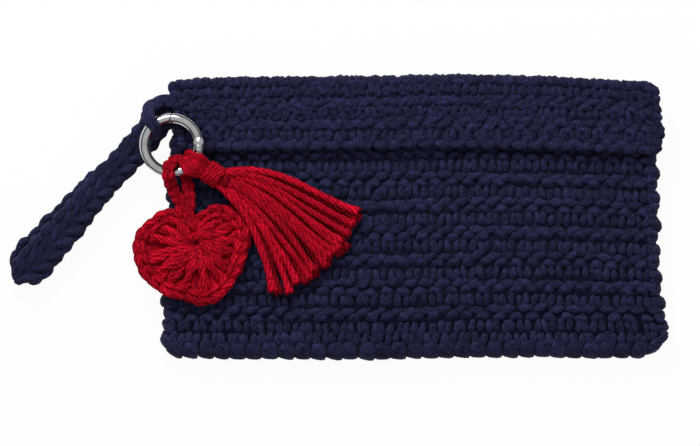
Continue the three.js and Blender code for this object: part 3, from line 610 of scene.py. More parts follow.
def makeBottom():
    pile = YarnPile()
    edge = bodyHalf(bottomY) - bottomRow["inset"]
    xs = stitchPlaces(-edge, edge, extra=1)[:, None]
    t = np.linspace(-1, 1, 13)[None]
    lean = bottomRow["lean"] + uneven(0.6, xs.shape)
    x = xs - lean * t + uneven(0.3, xs.shape)
    distance = (bottomStart + backStart) / 2 + bottomRow["reach"] * t + uneven(0.5, xs.shape)
    lift = -bottomRow["sink"] - bottomRow["endDip"] * np.abs(t) ** 4 + uneven(0.2, xs.shape)
    thin = 1 - bottomRow["endThin"] * np.abs(t) ** 4
    radius = bottomRow["width"] * thin * rng.uniform(0.95, 1.05, xs.shape)
    pile.strands(onSkin(x, distance, lift), radius, sides=14, flat=bottomRow["thick"], lump=0.03, square=3.8,
                 tone=0.9)
    xs = stitchPlaces(-edge + 0.5, edge - 0.5, 0.2, extra=1)
    for leg in legs:
        bumpRow(pile, leg, xs, onFront(bottomRow["legsY"]), up, size=bottomRow["legSize"])
        bumpRow(pile, leg, xs, onBack(bottomRow["legsY"]), -up, size=bottomRow["legSize"])
    # The core under the bottom row is painted dark: painted shade between the blocks.
    core = [(edge * k, bottomCentre - 2.0, half) for k in np.linspace(-1, 1, 9)]
    ends = [bottomRow["coreEnd"]]
    pile.strands(core, ends + [bottomRow["core"]] * 7 + ends, sides=10, flat=1.25, tone=0.25)
    pile.build("bottom_stitches", "pouch", navy, ["bottom_fold"], settled)


# Row ends turn round each side, with one fuller bulge for each band and a thin cord between two
seam = {"inset": 6.5, "below": 4.3, "footUp": 4.0, "out": 4.2, "fullOut": 5.3, "footOut": 4.6, "lean": 0.8,
        "shy": 2.0, "yarn": 3.0, "fullYarn": 3.5, "core": 3.4,
        "thinInset": 6.0, "thinBelow": 2.2, "thinOut": 3.6, "thinLean": 2.4, "thinShy": 1.7, "thinYarn": 1.7}


def makeSeam(side):
    pile = YarnPile()
    name = "left" if side < 0 else "right"
    turns = np.radians(np.linspace(-90, 90, 11))
    sine, cosine = np.sin(turns), np.cos(turns)
    paths, radii, thin = [], [], []
    for k in range(-1, 20):
        y = grooves[0] - seam["below"] + crochet["band"] * k / 2 + (seam["footUp"] if k < 0 else 0)
        if y > frontHigh[1] - 1:
            continue
        full = k % 2 == 1 and k > 1
        out = seam["fullOut" if full else "out" if k >= 0 else "footOut"] + uneven(0.4)
        lean = uneven(1.0) + (seam["lean"] if full else -seam["lean"])
        x = side * (bodyHalf(y) - seam["inset"] + out * cosine)
        paths.append(spots(x, y + lean * sine + uneven(0.2), half + (half - seam["shy"]) * sine))
        radii.append(seam["fullYarn" if full else "yarn"] * (0.72 + 0.28 * cosine))
    pile.strands(paths, radii, sides=9, flat=0.62, outward=-up)
    for k in range(19):
        y = grooves[0] - seam["thinBelow"] + crochet["band"] * k / 2 + uneven(0.5)
        if y > frontHigh[1] - 2:
            continue
        x = side * (bodyHalf(y) - seam["thinInset"] + (seam["thinOut"] + uneven(0.6)) * cosine)
        thin.append(spots(x, y + seam["thinLean"] * sine, half + (half - seam["thinShy"]) * sine))
    pile.strands(thin, seam["thinYarn"] * (0.75 + 0.25 * cosine), outward=-up)
    # The core inside the row ends is painted dark: painted shade between them.
    ys = np.linspace(bottomCentre - 1, frontHigh[1] - 1, 12)
    core = [(side * (bodyHalf(y) - seam["inset"]), y, half) for y in ys]
    pile.strands(core, seam["core"], sides=10, outward=(1, 0, 0), tone=0.25)
    pile.build("seam_" + name, "pouch", navy, ["side_seam_" + name], settled)


# The fabric that turns over the top: one strip for each of the two edges that bend
topFold = {"inset": 3.2, "shift": 0.4, "overlap": 1.5, "coreGap": 1.6, "coreIn": 1.2, "coreOut": 1.9,
           "postIn": 2.7, "postDown": 2.8, "postYarn": 2.45, "postBend": 17,
           "lowerInside": (0.6, 4.2, 7.6), "upperInside": (10.6, 14.0, 17.2)}


def makeTopFold():
    left, right = flapEdges(foldY)
    ends = (left + topFold["inset"], right - topFold["inset"])
    xs, offset = stitchPlaces(*ends), stitchPlaces(*ends, topFold["shift"])
    lower, upper = YarnPile(), YarnPile()
    middle, lap, gap = flapFace / 2, topFold["overlap"], topFold["coreGap"]
    inner, outer = foldLow[1] + topFold["coreIn"], topY - topFold["coreOut"]
    lowY = foldY - 0.6
    for pile, low, high in ((lower, gap, middle + lap), (upper, middle - lap, flapFace - gap)):
        outline = [(inner, low), (outer, low), (outer, high), (inner, high)]
        # The fold's cores keep the loft's darker default tone: painted shade between the stitches.
        pile.loft([[(x, y, z) for y, z in outline] for x in np.linspace(ends[0] - 1, ends[1] + 1, 9)])
        for x in (left + topFold["postIn"], right - topFold["postIn"]):  # rounded ends
            zs = np.linspace(low + 0.4, high - 0.2, 6)
            ys = topY - topFold["postDown"] - 0.5 * (zs > topFold["postBend"])
            post = spots(x + uneven(0.2, 6), ys, zs)
            pile.strands(post, topFold["postYarn"], sides=10, outward=north, lump=0.05)
    bumpRow(lower, "bar", xs, foldStart + 2.0, -up, tilt=5)
    for leg in legs:
        bumpRow(lower, leg, offset, foldStart + 7.0, north)
        bumpRow(upper, leg, xs, foldStart + 16.0, north)
    bumpRow(lower, "cap", xs, foldStart + 10.6, north)
    bumpRow(upper, "cap", offset, foldStart + 13.2, north)
    bumpRow(upper, "bar", xs, foldStart + 20.2, north, tilt=5)
    bumpRow(upper, "bar", offset, flapStart + 0.6, up, tilt=6, size=0.95)
    for leg in legs:
        bumpRow(upper, leg, xs, flapStart + 4.6, up)
    for pile, distances in ((lower, topFold["lowerInside"]), (upper, topFold["upperInside"])):
        for kind, distance in zip(("bar", "cap", "cap"), distances):
            bumpRow(pile, kind, xs, distance, -north, place=insideFold, size=0.8, tilt=8)
    bottom = lower.build("fold_lower", None, navy, (), settled)
    top = upper.build("fold_upper", None, navy, ["top_fold"], settled)
    lowY * mm
    topY * mm
    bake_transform(bottom)
    topY * mm
    lowY * mm
    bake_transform(top)


# Heights above the flap's edge, and rows below the top of each band
flap = {
    "bands": [
        {"top": 27.2, "wideAt": 5, "shifts": (0.1, -0.4), "rows": (2.6, 5.2, 8.2), "tilt": 16, "cap": 0.9},
        {"top": 16.2, "wideAt": 8, "shifts": (0.0, 0.45), "rows": (2.2, 5.2, 8.4), "tilt": 10, "cap": 1.0}],
    "coreInset": 3, "coreLow": 2.0, "coreHigh": 1.2, "inset": 3.5, "innerInset": 4,
    "innerRows": (27.5, 19.5, 11.5), "rim": 1.05, "ends": 8, "endIn": 3.6, "endOut": 1.5, "endTall": 0.9,
    "coreIn": 2.9, "coreYarn": 2.2,
}


def makeFlap():
    pile = YarnPile()
    inset, stations = flap["coreInset"], crochet["coreStations"]
    low, high = flapEnd + flap["coreLow"], foldY + flap["coreHigh"]
    outline = [(x, low) for x in np.linspace(*flapEdges(low, inset), stations)]
    outline += [(flapEdges(y, inset)[1], y) for y in np.linspace(low, high, 6)[1:-1]]
    outline += [(x, high) for x in np.linspace(*flapEdges(high, inset), stations)[::-1]]
    outline += [(flapEdges(y, inset)[0], y) for y in np.linspace(high, low, 6)[1:-1]]
    # The flap's core keeps the darker default tone: painted shade between the stitches.
    backing(pile, outline, flapLow[2] + 1.9, flapFace - 2.4)
    for rows in flap["bands"]:
        top = flapEnd + rows["top"]
        edges = flapEdges(top - rows["wideAt"], flap["inset"])
        xs, between = [stitchPlaces(*edges, shift) for shift in rows["shifts"]]
        distances = [onFlap(top - row) for row in rows["rows"]]
        band(pile, xs, between, distances, up, tilt=rows["tilt"], capSize=rows["cap"])
    bumpRow(pile, "bar", between, onFlap(flapEnd + 4.7), up, tilt=24, size=flap["rim"])
    bumpRow(pile, "bar", xs, onFlap(flapEnd + 2.2), up, tilt=-14, size=flap["rim"])
    bumpRow(pile, "bar", xs, onFlap(flapEnd + 0.4) + 4.2, -north, tilt=10)
    for k, y in enumerate(flapEnd + np.array(flap["innerRows"])):
        xs = stitchPlaces(*flapEdges(y, flap["innerInset"]), 0.3 * k)
        gap = max(0, abs(y - crochet["snapY"]) - 2)
        inner = {"place": underFlap, "size": 0.8, "sides": 6, "snapGap": gap}
        bumpRow(pile, "cap", xs, foldY - y - 2.4, -up, **inner)
        for leg in legs:
            bumpRow(pile, leg, xs, foldY - y + 1.4, -up, **inner)
    turns = np.radians(np.linspace(-90, 90, 9))
    sine, cosine = np.sin(turns), np.cos(turns)
    middle = (flapLow[2] + flapFace) / 2
    for side, sign in ((0, -1), (1, 1)):  # row ends turn round both sides
        paths = []
        for y in np.linspace(flapEnd + 3.2, foldY - 1.5, flap["ends"]):
            y = y + uneven(0.6)
            lean = uneven(1.2)
            edge = flapEdges(y)[side] - sign * flap["endIn"]
            x = edge + sign * (flap["endOut"] + uneven(0.4)) * cosine
            paths.append(spots(x, y + lean * sine, middle + flap["endTall"] * sine))
        pile.strands(paths, 2.2 + 0.75 * cosine, sides=9, flat=0.72, outward=-up, lump=0.05)
        # The cores inside the row ends are painted darker: painted shade between them.
        ys = np.linspace(flapEnd + 1.5, foldY, flap["ends"])
        core = [(flapEdges(y)[side] - sign * flap["coreIn"], y, middle) for y in ys]
        pile.strands(core, flap["coreYarn"], sides=9, tone=0.5)
    pile.build("flap_stitches", "flap", navy, ["flap_panel"], settled)


makeFront()
makeBack()
makeBottom()
makeSeam(-1)
makeSeam(1)
makeTopFold()
makeFlap()
print("bag fabric done")


# Leaves and chains of stitches, for the strap and the charms

# Fat tapering strands from one place to another; start and end are (across, distances) for place()
def leaves(pile, place, start, end, lift, cord, outward, bow=0.0, sides=8, dip=1.3, taper=0.48, **more):
    (fromAcross, fromAt), (toAcross, toAt) = start, end
    each = (len(fromAt), 1)
    t = np.linspace(0, 1, 8)[None]
    hump = np.sin(math.pi * t)
    loose = 0.11 * cord + 0.08
    across = lerp(fromAcross, toAcross, t) + (bow + uneven(loose, each)) * hump + uneven(loose, each)
    distance = lerp(fromAt[:, None], toAt[:, None], t) + uneven(1.4 * loose, each)
    height = lift - dip * (1 - hump) ** 1.5 + uneven(0.6 * loose, each)
    radius = cord * (1 - taper + taper * hump) * rng.uniform(0.88, 1.08, each)
    pile.strands(place(across, distance, height), radius, sides=sides, outward=outward, **more)


class Ribbon:  # a line in space with arc length, an outward side and an across side
    def __init__(self, points, outward=up, closed=False):
        self.points = np.concatenate([points, points[:1]]) if closed else points
        self.reach, self.closed = lengths(self.points), closed
        along = unit(np.gradient(self.points, axis=0))
        guide = np.broadcast_to(np.asarray(outward, float), along.shape)
        self.out = unit(guide - along * np.sum(guide * along, axis=1, keepdims=True))
        self.across = np.cross(along, self.out)

    def place(self, across, distance, lift):
        distance = np.mod(distance, self.reach[-1]) if self.closed else distance
        frames = (self.points, self.across, self.out)
        spot, side, out = [sample(distance, self.reach, rows) for rows in frames]
        return spot + side * across[..., None] + out * lift[..., None]


# A crocheted chain: V after V, each starting inside the one before
def chain(pile, ribbon, pitch, width, cord, outward=up, **more):
    length = ribbon.reach[-1]
    links = np.arange(0.3 * pitch, length - (0 if ribbon.closed else 0.7 * pitch), pitch)
    links = links * (length / (len(links) * pitch)) if ribbon.closed else links
    for side in (-1, 1):
        start = (side * 0.18 * width, links - 0.35 * pitch)
        end = (side * width, links + 0.95 * pitch)
        leaves(pile, ribbon.place, start, end, 0.0, cord, outward, bow=side * 0.16 * width, **more)


# The wrist strap: a band that runs out, turns over and comes back on top of itself

strap = {
    "hinge": (-146.0, 25.0), "angle": 227.5, "neck": 16.0, "neckStart": 6, "neckDrop": 3.2, "length": 79.5,
    "height": 16.0, "pitch": 8.2, "edge": 6.1, "peek": 3.2, "cord": 2.25, "tone": 0.81, "lump": 0.06,
    "lowerNeck": 0.58, "rootDrift": 2.2, "bend": 7.0,
    "widths": [(0, 0.86), (26, 0.88), (38, 1.0), (68, 1.16), (71, 1.09), (74, 0.92), (77, 0.5), (79.5, 0.2)],
    "drift": [(0, 1.4), (26, 0.8), (38, 0.0)],
    "rootWay": [(-139.6, 31.4, 13.4), (-133.6, 37.8, 17.2), (-127.4, 45.0, 19.6), (-118.8, 56.0, 20.2)],
}
strapAlong = level(math.radians(strap["angle"]))
strapAcross = np.array([strapAlong[1], -strapAlong[0], 0])
strapBase = np.array([*strap["hinge"], 0])


# The band's outer face: out under, round the far end, back on top and up to the ring
def strapLines():
    top, neck = strap["height"], strap["neck"]
    start, drop, bend = strap["neckStart"], strap["neckDrop"], strap["height"] / 2
    end = strap["length"] - bend
    way = line((1.5, 4.4), (start, drop), 4) + line((start, drop), (neck, 0), 8)
    way += line((neck, 0), (end, 0)) + arc((end, bend), (bend, bend), -90, 90, 20)
    way += line((end, top), (neck, top)) + line((neck, top), (start, top - drop), 8)
    loop = Skin(way)
    points = strapBase + strapAlong * loop.points[:, :1] + up * loop.points[:, 1:]
    outs = strapAlong * loop.normal[:, :1] + up * loop.normal[:, 1:]
    far = loop.points[:, 0]
    upper = np.clip((loop.reach / loop.reach[-1] - 0.38) / 0.24, 0, 1)  # 0 on the lower layer
    past = np.interp(far, (0, neck), (0, 1))
    widths = lerp(lerp(strap["lowerNeck"], 1, past), 1, upper) * graph(far, strap["widths"])
    shifts = lerp(strap["peek"] * np.clip(2 * past, 0, 1), graph(far, strap["drift"]), upper)
    rootPoints = smoothPath([points[-1], *strap["rootWay"]], 26)[1:]
    heading = unit(np.gradient(rootPoints, axis=0))
    rootOuts = unit(up - heading * heading[:, 2:])
    rootSides = unit(spots(-heading[:, 1], heading[:, 0], 0))
    share = np.linspace(0, 1, len(rootPoints))
    allPoints = np.concatenate([points, rootPoints])
    rows = np.column_stack([
        allPoints, np.concatenate([outs, rootOuts]),
        np.concatenate([np.tile(strapAcross, (len(points), 1)), rootSides]),
        np.concatenate([widths, np.full(len(share), widths[-1])]),
        np.concatenate([shifts, lerp(shifts[-1], strap["rootDrift"], share)])])
    return lengths(allPoints), rows, loop.reach[-1]


strapReach, strapRows, loopLength = strapLines()


def onStrap(across, distance, lift):
    found = sample(distance, strapReach, strapRows)
    side = across * found[..., 9] + found[..., 10]
    return found[..., :3] + unit(found[..., 3:6]) * lift[..., None] + unit(found[..., 6:9]) * side[..., None]


def makeStrap():
    pile = YarnPile()
    cord, edge, pitch, length = strap["cord"], strap["edge"], strap["pitch"], strapReach[-1]
    ring = wholeTurn(14)
    rings = []
    for distance in np.linspace(0.5, length - 2.5, 70):
        across = edge * 0.95 * np.interp(length - distance, (2, 6), (0.8, 1)) * np.cos(ring)
        rings.append(onStrap(across, np.full(14, distance), -3.0 + 1.5 * np.sin(ring)))
    # The strap's core is painted darker: painted shade between the stitches.
    pile.loft(rings, tone=0.5)
    stitches = np.arange(1.5, length - pitch * 0.6, pitch)
    tips, opens = stitches - 0.25 * pitch, stitches + 0.95 * pitch
    outward = np.where((stitches > loopLength / 2)[:, None], up, -up)
    # Across at the open end and at the tip, how much later each is, sink and thickness in cords, bow
    for openAt, tipAt, openLater, tipLater, sink, thick, bow in (
            (-(edge + 0.4), -0.8, 0, 0, 0.85, 1.08, -0.9), (3.6, -0.6, 0.5, 1.2, 0.95, 0.96, 0.7),
            (edge + 0.3, edge - 2.2, 1.0, 1.6, 1.15, 0.9, 0.6)):
        leaves(pile, onStrap, (openAt, opens + openLater), (tipAt, tips + tipLater), -cord * sink,
               cord * thick, outward, bow=bow, lump=strap["lump"], tone=strap["tone"])
    for side in (-1, 1):  # the rims of both layers
        leaves(pile, onStrap, (side * edge, tips), (side * (edge + 0.3), opens), -cord * 1.7, cord * 0.95,
               outward, bow=side * 0.5, lump=strap["lump"])
    piece = pile.build("strap_stitches", None, navy, ["strap_loop"])
    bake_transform(piece)


# The strap's root leaves the flap's edge, crosses over the ring's wire and goes down through the ring

root = {
    "route": [(-119.5, 58.0, 19.5), (-126.0, 57.4, 20.5), (-131.2, 54.8, 26.4), (-132.6, 50.6, 32.0),
              (-130.6, 46.6, 34.3), (-128.0, 42.8, 31.4), (-127.6, 41.0, 25.4), (-129.8, 39.8, 20.2)],
    "outward": (-0.35, 0.25, 1.0), "stations": 72, "cord": 2.05, "weave": 1.5, "crossings": 3.2,
    "endThin": 0.62,
}


def makeRoot():
    pile = YarnPile()
    ribbon = Ribbon(smoothPath(root["route"], root["stations"]), root["outward"])
    share = np.linspace(0, 1, root["stations"])
    thin = np.interp(share, (0.6, 0.8), (1, root["endThin"]))
    weave = root["weave"] * thin
    paths = []
    for k in range(3):  # three cords that cross each other
        phase = math.tau * (share * root["crossings"] / 2 + k / 3)
        paths.append(ribbon.place(weave * np.sin(phase), ribbon.reach, 0.4 * weave * np.sin(2 * phase)))
    swell = root["cord"] * (1 + 0.07 * np.sin(share * 40)) * thin
    pile.strands(paths, swell, sides=9, outward=root["outward"])
    pile.build("strap_root_cords", "flap", navy, ["strap_root"])


# The spring-gate ring

ringShape = {"centre": (-120.8, 35.6, 26.45), "radius": 13.55, "wire": 2.65, "latch": 92.5, "slant": 5.0,
             "hinge": 7.0, "slit": 0.8, "knuckle": 2.7, "tongue": 0.85, "play": 0.25, "ease": 0.35,
             "bodyShort": 7, "gateShort": 8, "leanOver": 6, "collar": (-13, 8, 1.05)}
ringRadius, hingeAngle = ringShape["radius"], ringShape["hinge"]


def onRing(angle, radius, height):
    return spots(radius * np.cos(angle), radius * np.sin(angle), height) + np.array(ringShape["centre"])


# An arc of the wire; lean turns each end face by some degrees across the wire
def wireArc(pile, fromAngle, toAngle, steps, fromLean=0.0, toLean=0.0, swell=None):
    section, fade = wholeTurn(24), ringShape["leanOver"]
    rings = []
    for share in np.linspace(0, 1, steps):
        lean = fromLean * max(0, 1 - share * fade) + toLean * max(0, 1 - (1 - share) * fade)
        angle = lerp(fromAngle, toAngle, share)
        wire = ringShape["wire"] * (swell(angle) if swell else 1)
        angles = np.radians(angle + lean * np.cos(section))
        rings.append(onRing(angles, ringRadius + wire * np.cos(section), wire * np.sin(section)))
    pile.loft(rings, tone=1.0)


def disc(pile, low, high, radius):  # a flat knuckle plate with eased edges
    section = wholeTurn(32)
    centre = onRing(np.radians(hingeAngle), ringRadius, 0.0)
    ease = ringShape["ease"]
    steps = ((low, radius - ease), (low + ease, radius), (high - ease, radius), (high, radius - ease))
    pile.loft([spots(r * np.cos(section), r * np.sin(section), z) + centre for z, r in steps], tone=1.0)


def makeRing():
    body, gate = YarnPile(), YarnPile()
    slit, latch, slant = ringShape["slit"], ringShape["latch"], ringShape["slant"]
    tongue, knuckle, top = ringShape["tongue"], ringShape["knuckle"], ringShape["wire"] - 0.1

    def collar(angle):  # a thicker stretch beside the hinge
        start, end, swell = ringShape["collar"]
        return swell if start <= angle - 360 <= end else 1
    bodyEnd = 360 + hingeAngle - ringShape["bodyShort"]
    wireArc(body, latch + slit, bodyEnd, 150, fromLean=-slant, swell=collar)
    wireArc(gate, hingeAngle + ringShape["gateShort"], latch - slit, 60, toLean=-slant)
    disc(body, tongue + ringShape["play"], top, knuckle)
    disc(body, -top, -tongue - ringShape["play"], knuckle)
    disc(gate, -tongue, tongue, knuckle - 0.1)
    body.build("ring_wire", "ring", steel, ["ring_body"])
    gate.build("ring_gate_arm", "gate", steel, ["ring_gate"])


# The heart: paired trebles out of a ring of yarn, with a chain all round

heart = {
    "centre": (-108.9, -13.4),
    "core": [(5.0, 18.3), (3.2, 17.6), (3.6, 17.0), (6, 16.7)],  # inset and height, as in the next three
    "rimAt": (3.3, 20.9), "underAt": (2.2, 18.6), "innerAt": (7.2, 19.0), "pitch": 6.6, "rim": 2.0,
    "rimWidth": 2.1, "underWidth": 1.2, "innerPitch": 0.8, "innerWidth": 1.1, "innerYarn": 1.2,
    "outline": [(-112.2, -3.6), (-119.0, 0.6), (-125.2, 2.9), (-132.4, -2.6), (-138.0, -7.6), (-140.0, -17.0),
                (-136.6, -28.2), (-127.4, -37.4), (-116.0, -41.2), (-105.4, -44.2), (-96.4, -40.6),
                (-88.4, -31.0), (-83.4, -18.0), (-82.0, -8.0), (-87.0, 0.8), (-96.0, 5.2), (-104.4, 2.6)],
    "ribs": 17, "firstRib": 6, "ribsAt": [(1, 20.4), (-1, 18.2)], "yarn": 1.8, "ribStart": 1.6,
    "ribShort": 6.2, "ribRise": 1.0, "outerDrop": 1.3, "innerDrop": 0.8, "windings": 0.8, "windRise": 0.5,
    "eye": 1.9, "eyeYarn": 1.3, "eyeZ": 20.0, "ply": {"plies": 4, "plyDepth": 0.05, "lay": 1.35},
}


def makeHeart():
    pile = YarnPile()
    ply, pitch = heart["ply"], heart["pitch"]
    centre = np.array([*heart["centre"], 0])
    spoke = smoothPath([(*point, 0) for point in heart["outline"]], 160, closed=True) - centre
    size = np.linalg.norm(spoke, axis=1, keepdims=True)

    def inset(amount, z):  # the outline drawn in by an amount, in mm
        return centre + spoke * (size - amount) / size + up * z
    # The heart's core is painted darker: painted shade between the trebles.
    pile.loft([inset(*ring) for ring in heart["core"]], tone=0.5)
    rim, under, inner = [Ribbon(inset(*heart[at]), closed=True) for at in ("rimAt", "underAt", "innerAt")]
    chain(pile, rim, pitch, heart["rimWidth"], heart["rim"], sides=12, taper=0.62, dip=1.8, **ply)
    chain(pile, under, pitch, heart["underWidth"], heart["rim"], outward=-up, **ply)
    # The inner chain, lower and among the rib tips, is painted a little darker: painted shade.
    chain(pile, inner, pitch * heart["innerPitch"], heart["innerWidth"], heart["innerYarn"], tone=0.8, **ply)
    turns = wholeTurn(heart["ribs"]) + math.radians(heart["firstRib"])
    spokeAngle = np.mod(np.unwrap(np.arctan2(spoke[:, 1], spoke[:, 0])), math.tau)
    order = np.argsort(spokeAngle)
    reachAt = np.interp(turns, spokeAngle[order], size[order, 0], period=math.tau)
    each = (len(turns), 1)
    t = np.linspace(0, 1, 14)[None]
    rise = heart["ribRise"] * np.sin(math.pi * t)
    rise = rise - heart["outerDrop"] * t**4 - heart["innerDrop"] * (1 - t) ** 4
    radius = heart["yarn"] * (0.64 + 0.42 * np.sin(math.pi * np.clip(t, 0, 0.85)))
    for face, lift in heart["ribsAt"]:
        spin = rng.uniform(0, math.tau, each)
        bent = uneven(0.10, each)
        for side in (0, 1):  # two strands turn round each other in each treble
            far = reachAt - heart["ribShort"] + uneven(0.7, len(turns))
            out = lerp(heart["ribStart"], far[:, None], t)
            wind = math.pi * side + spin + math.tau * heart["windings"] * t
            apart = (0.6 + 0.9 * t) * np.cos(wind)
            lean = turns[:, None] + bent * t**2
            x = centre[0] + out * np.cos(lean) - apart * np.sin(lean)
            y = centre[1] + out * np.sin(lean) + apart * np.cos(lean)
            z = lift + face * (rise + heart["windRise"] * np.sin(wind)) + uneven(0.2, each)
            pile.strands(spots(x, y, z), radius, sides=11, outward=face * up, lump=0.03, **ply)
    eye = wholeTurn(24)
    loop = centre + spots(heart["eye"] * np.cos(eye), heart["eye"] * np.sin(eye), heart["eyeZ"])
    # The ring of yarn under the rib roots is painted a little darker: painted shade.
    pile.strands(loop, heart["eyeYarn"], sides=9, closed=True, tone=0.8, **ply)
    pile.build("heart_stitches", "heart", red, ["heart_charm"])


heartLoop = {
    "route": [(-115.6, 0.5, 20.6), (-117.0, 6.5, 21.6), (-120.2, 14.0, 25.6), (-122.4, 20.6, 31.8),
              (-121.4, 26.6, 31.4), (-118.2, 28.6, 25.6), (-115.2, 25.0, 20.2), (-114.2, 20.4, 19.0),
              (-113.4, 17.0, 19.8), (-112.2, 10.0, 20.9), (-112.4, 2.5, 21.2), (-111.6, -2.6, 21.6),
              (-108.4, -5.0, 21.4)],
    "outward": (-0.15, 0.45, 1.0), "pitch": 5.2, "width": 2.0, "yarn": 1.75, "core": 1.25,
}


def makeHeartLoop():
    pile = YarnPile()
    middle, outward = smoothPath(heartLoop["route"], 90), heartLoop["outward"]
    chain(pile, Ribbon(middle, outward), heartLoop["pitch"], heartLoop["width"], heartLoop["yarn"], outward,
          dip=1.1, taper=0.58, **heart["ply"])
    # The core under the chain is painted a little darker: painted shade.
    pile.strands(middle, heartLoop["core"], sides=9, outward=outward, tone=0.8, **heart["ply"])
    pile.build("heart_chain", "heart", red, ["heart_loop"])


# The tassel: strands folded over the wire, bound at the neck, then a fan of plied strands

tassel = {
    "wireAngle": -40.0, "heading": -30.0, "neck": 7.6, "neckZ": 24.0, "neckLength": 9.5, "neckRadius": 4.6,
    "turns": 4, "bindYarn": 1.45, "headStrands": 9, "headYarn": 1.3, "headHalf": 3.6,
    "spread": (-22.0, -61.0), "gather": 0.6, "clearance": 0.5, "fanHalf": 3.1, "under": 13,
    "over": (0.0, 0.11, 0.17, 0.25, 0.33, 0.40, 0.47, 0.55, 0.62, 0.70, 0.79, 0.88, 1.0), "yarn": 1.66,
    "firstHeading": (12.0, -44.0), "lastHeading": (-20.0, -77.0), "leaveShare": 0.36, "arriveShare": 0.34,
    "wobble": 0.35, "flare": 0.5, "flareFrom": 0.91, "underShadeTones": (0.55, 1.06),
    "reachTo": [(-26.0, 1.8), (-34.5, -13.2), (-42.0, -22.8), (-55.5, -32.8), (-70.0, -38.8)],
    "lie": 17.9, "layerRise": 2.7, "fibres": 22, "fibreReach": (0.7, 2.1), "fibreYarn": [0.42, 0.40, 0.28],
    "ply": {"plies": 4, "plyDepth": 0.06, "lay": 1.35},
}
tasselHeading = level(math.radians(tassel["heading"]))
tasselSide = np.array([-tasselHeading[1], tasselHeading[0], 0])
wireAngle = math.radians(tassel["wireAngle"])
neckStart = onRing(wireAngle, ringRadius, 0.0) + tasselHeading * tassel["neck"]
neckStart[2] = tassel["neckZ"]
neckEnd = neckStart + tasselHeading * tassel["neckLength"]


def tasselHead(pile):  # each loop goes over the wire and back under it
    heading, beside, start = tasselHeading, tasselSide, neckStart
    for share in np.arange(tassel["headStrands"]) / (tassel["headStrands"] - 1):
        angle = math.radians(lerp(*tassel["spread"], share))
        wire, inward = onRing(angle, ringRadius, 0.0), -level(angle)
        bend = ringRadius * (1 - math.cos(angle - wireAngle))
        clear = ringShape["wire"] + tassel["headYarn"] + bend + tassel["clearance"]
        gathered = lerp(wireAngle, angle, tassel["gather"])
        inside = onRing(gathered, ringRadius, 0.0) - level(gathered) * clear
        lateral = beside * lerp(tassel["headHalf"], -tassel["headHalf"], share)
        route = [start + heading * 6 + lateral * 0.8 + up * 2.2, start + lateral + up * 3.2,
                 wire - inward * 2.6 + up * (clear + 0.2), wire + up * clear,
                 wire + inward * clear * 0.75 + up * clear * 0.7, inside,
                 wire + inward * clear * 0.7 - up * clear * 0.7, wire - up * clear,
                 start + lateral - up * 3.0, start + heading * 6 + lateral * 0.8 - up * 2.2]
        path = smoothPath(np.array(route) + uneven(0.25, (10, 3)), 46)
        pile.strands(path, tassel["headYarn"], sides=10, outward=beside, **tassel["ply"])
    # The core under the head strands is painted darker: painted shade.
    core = [start - heading * 2, start, neckEnd, neckEnd + heading * 3]
    pile.strands(smoothPath(core, 12), tassel["neckRadius"] - tassel["bindYarn"] + 0.6, sides=14, tone=0.6)


def makeBinding():
    pile = YarnPile()
    turns = np.linspace(0, math.tau * tassel["turns"], 40 * tassel["turns"])[:, None]
    swell = tassel["neckRadius"] * (1 + 0.05 * np.sin(2.3 * turns))
    bind = neckStart + tasselHeading * (0.8 + (tassel["neckLength"] - 1.6) * (turns / turns[-1]))
    bind = bind + tasselSide * (swell * np.cos(turns)) + up * (swell * np.sin(turns))
    bind = bind + tasselHeading * (0.7 * np.cos(turns))
    pile.strands(bind, tassel["bindYarn"], sides=10, outward=tasselHeading, **tassel["ply"])
    pile.build("tassel_binding", "tassel", red, ["tassel_neck_wrap"])


def tasselStrand(pile, layer, fan):  # one strand of the fan, from the neck to its cut end
    t = np.linspace(0, 1, 64)[:, None]
    fan = np.clip(fan + uneven(0.012), 0, 1)
    spin = math.tau * rng.random()
    begin = neckEnd + tasselSide * lerp(tassel["fanHalf"], -tassel["fanHalf"], fan)
    begin = begin + up * (2.0 * (layer - 0.5) + 0.8 * math.sin(spin)) - tasselHeading * 2.0
    lie = tassel["lie"] + tassel["layerRise"] * layer + uneven(0.35)
    tips = np.array(tassel["reachTo"])
    tip = np.array([*sample(fan, np.linspace(0, 1, len(tips)), tips), lie - 0.2])
    far = np.linalg.norm(tip[:2] - begin[:2])
    tip = tip + unit(tip - begin) * uneven(2.4)
    first = math.radians(lerp(*tassel["firstHeading"], fan) + uneven(6 if layer else 3))
    last = math.radians(lerp(*tassel["lastHeading"], fan) + uneven(7 if layer else 3))
    leaveBy = begin + level(first) * far * tassel["leaveShare"]
    leaveBy[2] = lie + 1.2 + 0.8 * layer
    arriveBy = tip - level(last) * far * tassel["arriveShare"]
    arriveBy[2] = lie
    path = begin * (1 - t) ** 3 + 3 * leaveBy * t * (1 - t) ** 2 + 3 * arriveBy * t**2 * (1 - t) + tip * t**3
    path = path + tasselSide * (tassel["wobble"] * np.sin(t * rng.uniform(7, 12) + spin) * t)
    t = t[:, 0]
    opened = np.clip((t - tassel["flareFrom"]) / (1 - tassel["flareFrom"]), 0, 1)
    flare = 1 + tassel["flare"] * opened + 0.04 * np.sin(t * 19 + spin)
    thick = tassel["yarn"] * rng.uniform(0.86, 1.14)
    # The under layer's tone is painted darker as shade beneath the top strands; the top layer's tone is its
    # colour.
    pile.strands(path, thick * flare, sides=12, lump=0.03, tone=tassel["underShadeTones"][layer], **tassel["ply"])
    return path[-1], unit(path[-1] - path[-3])


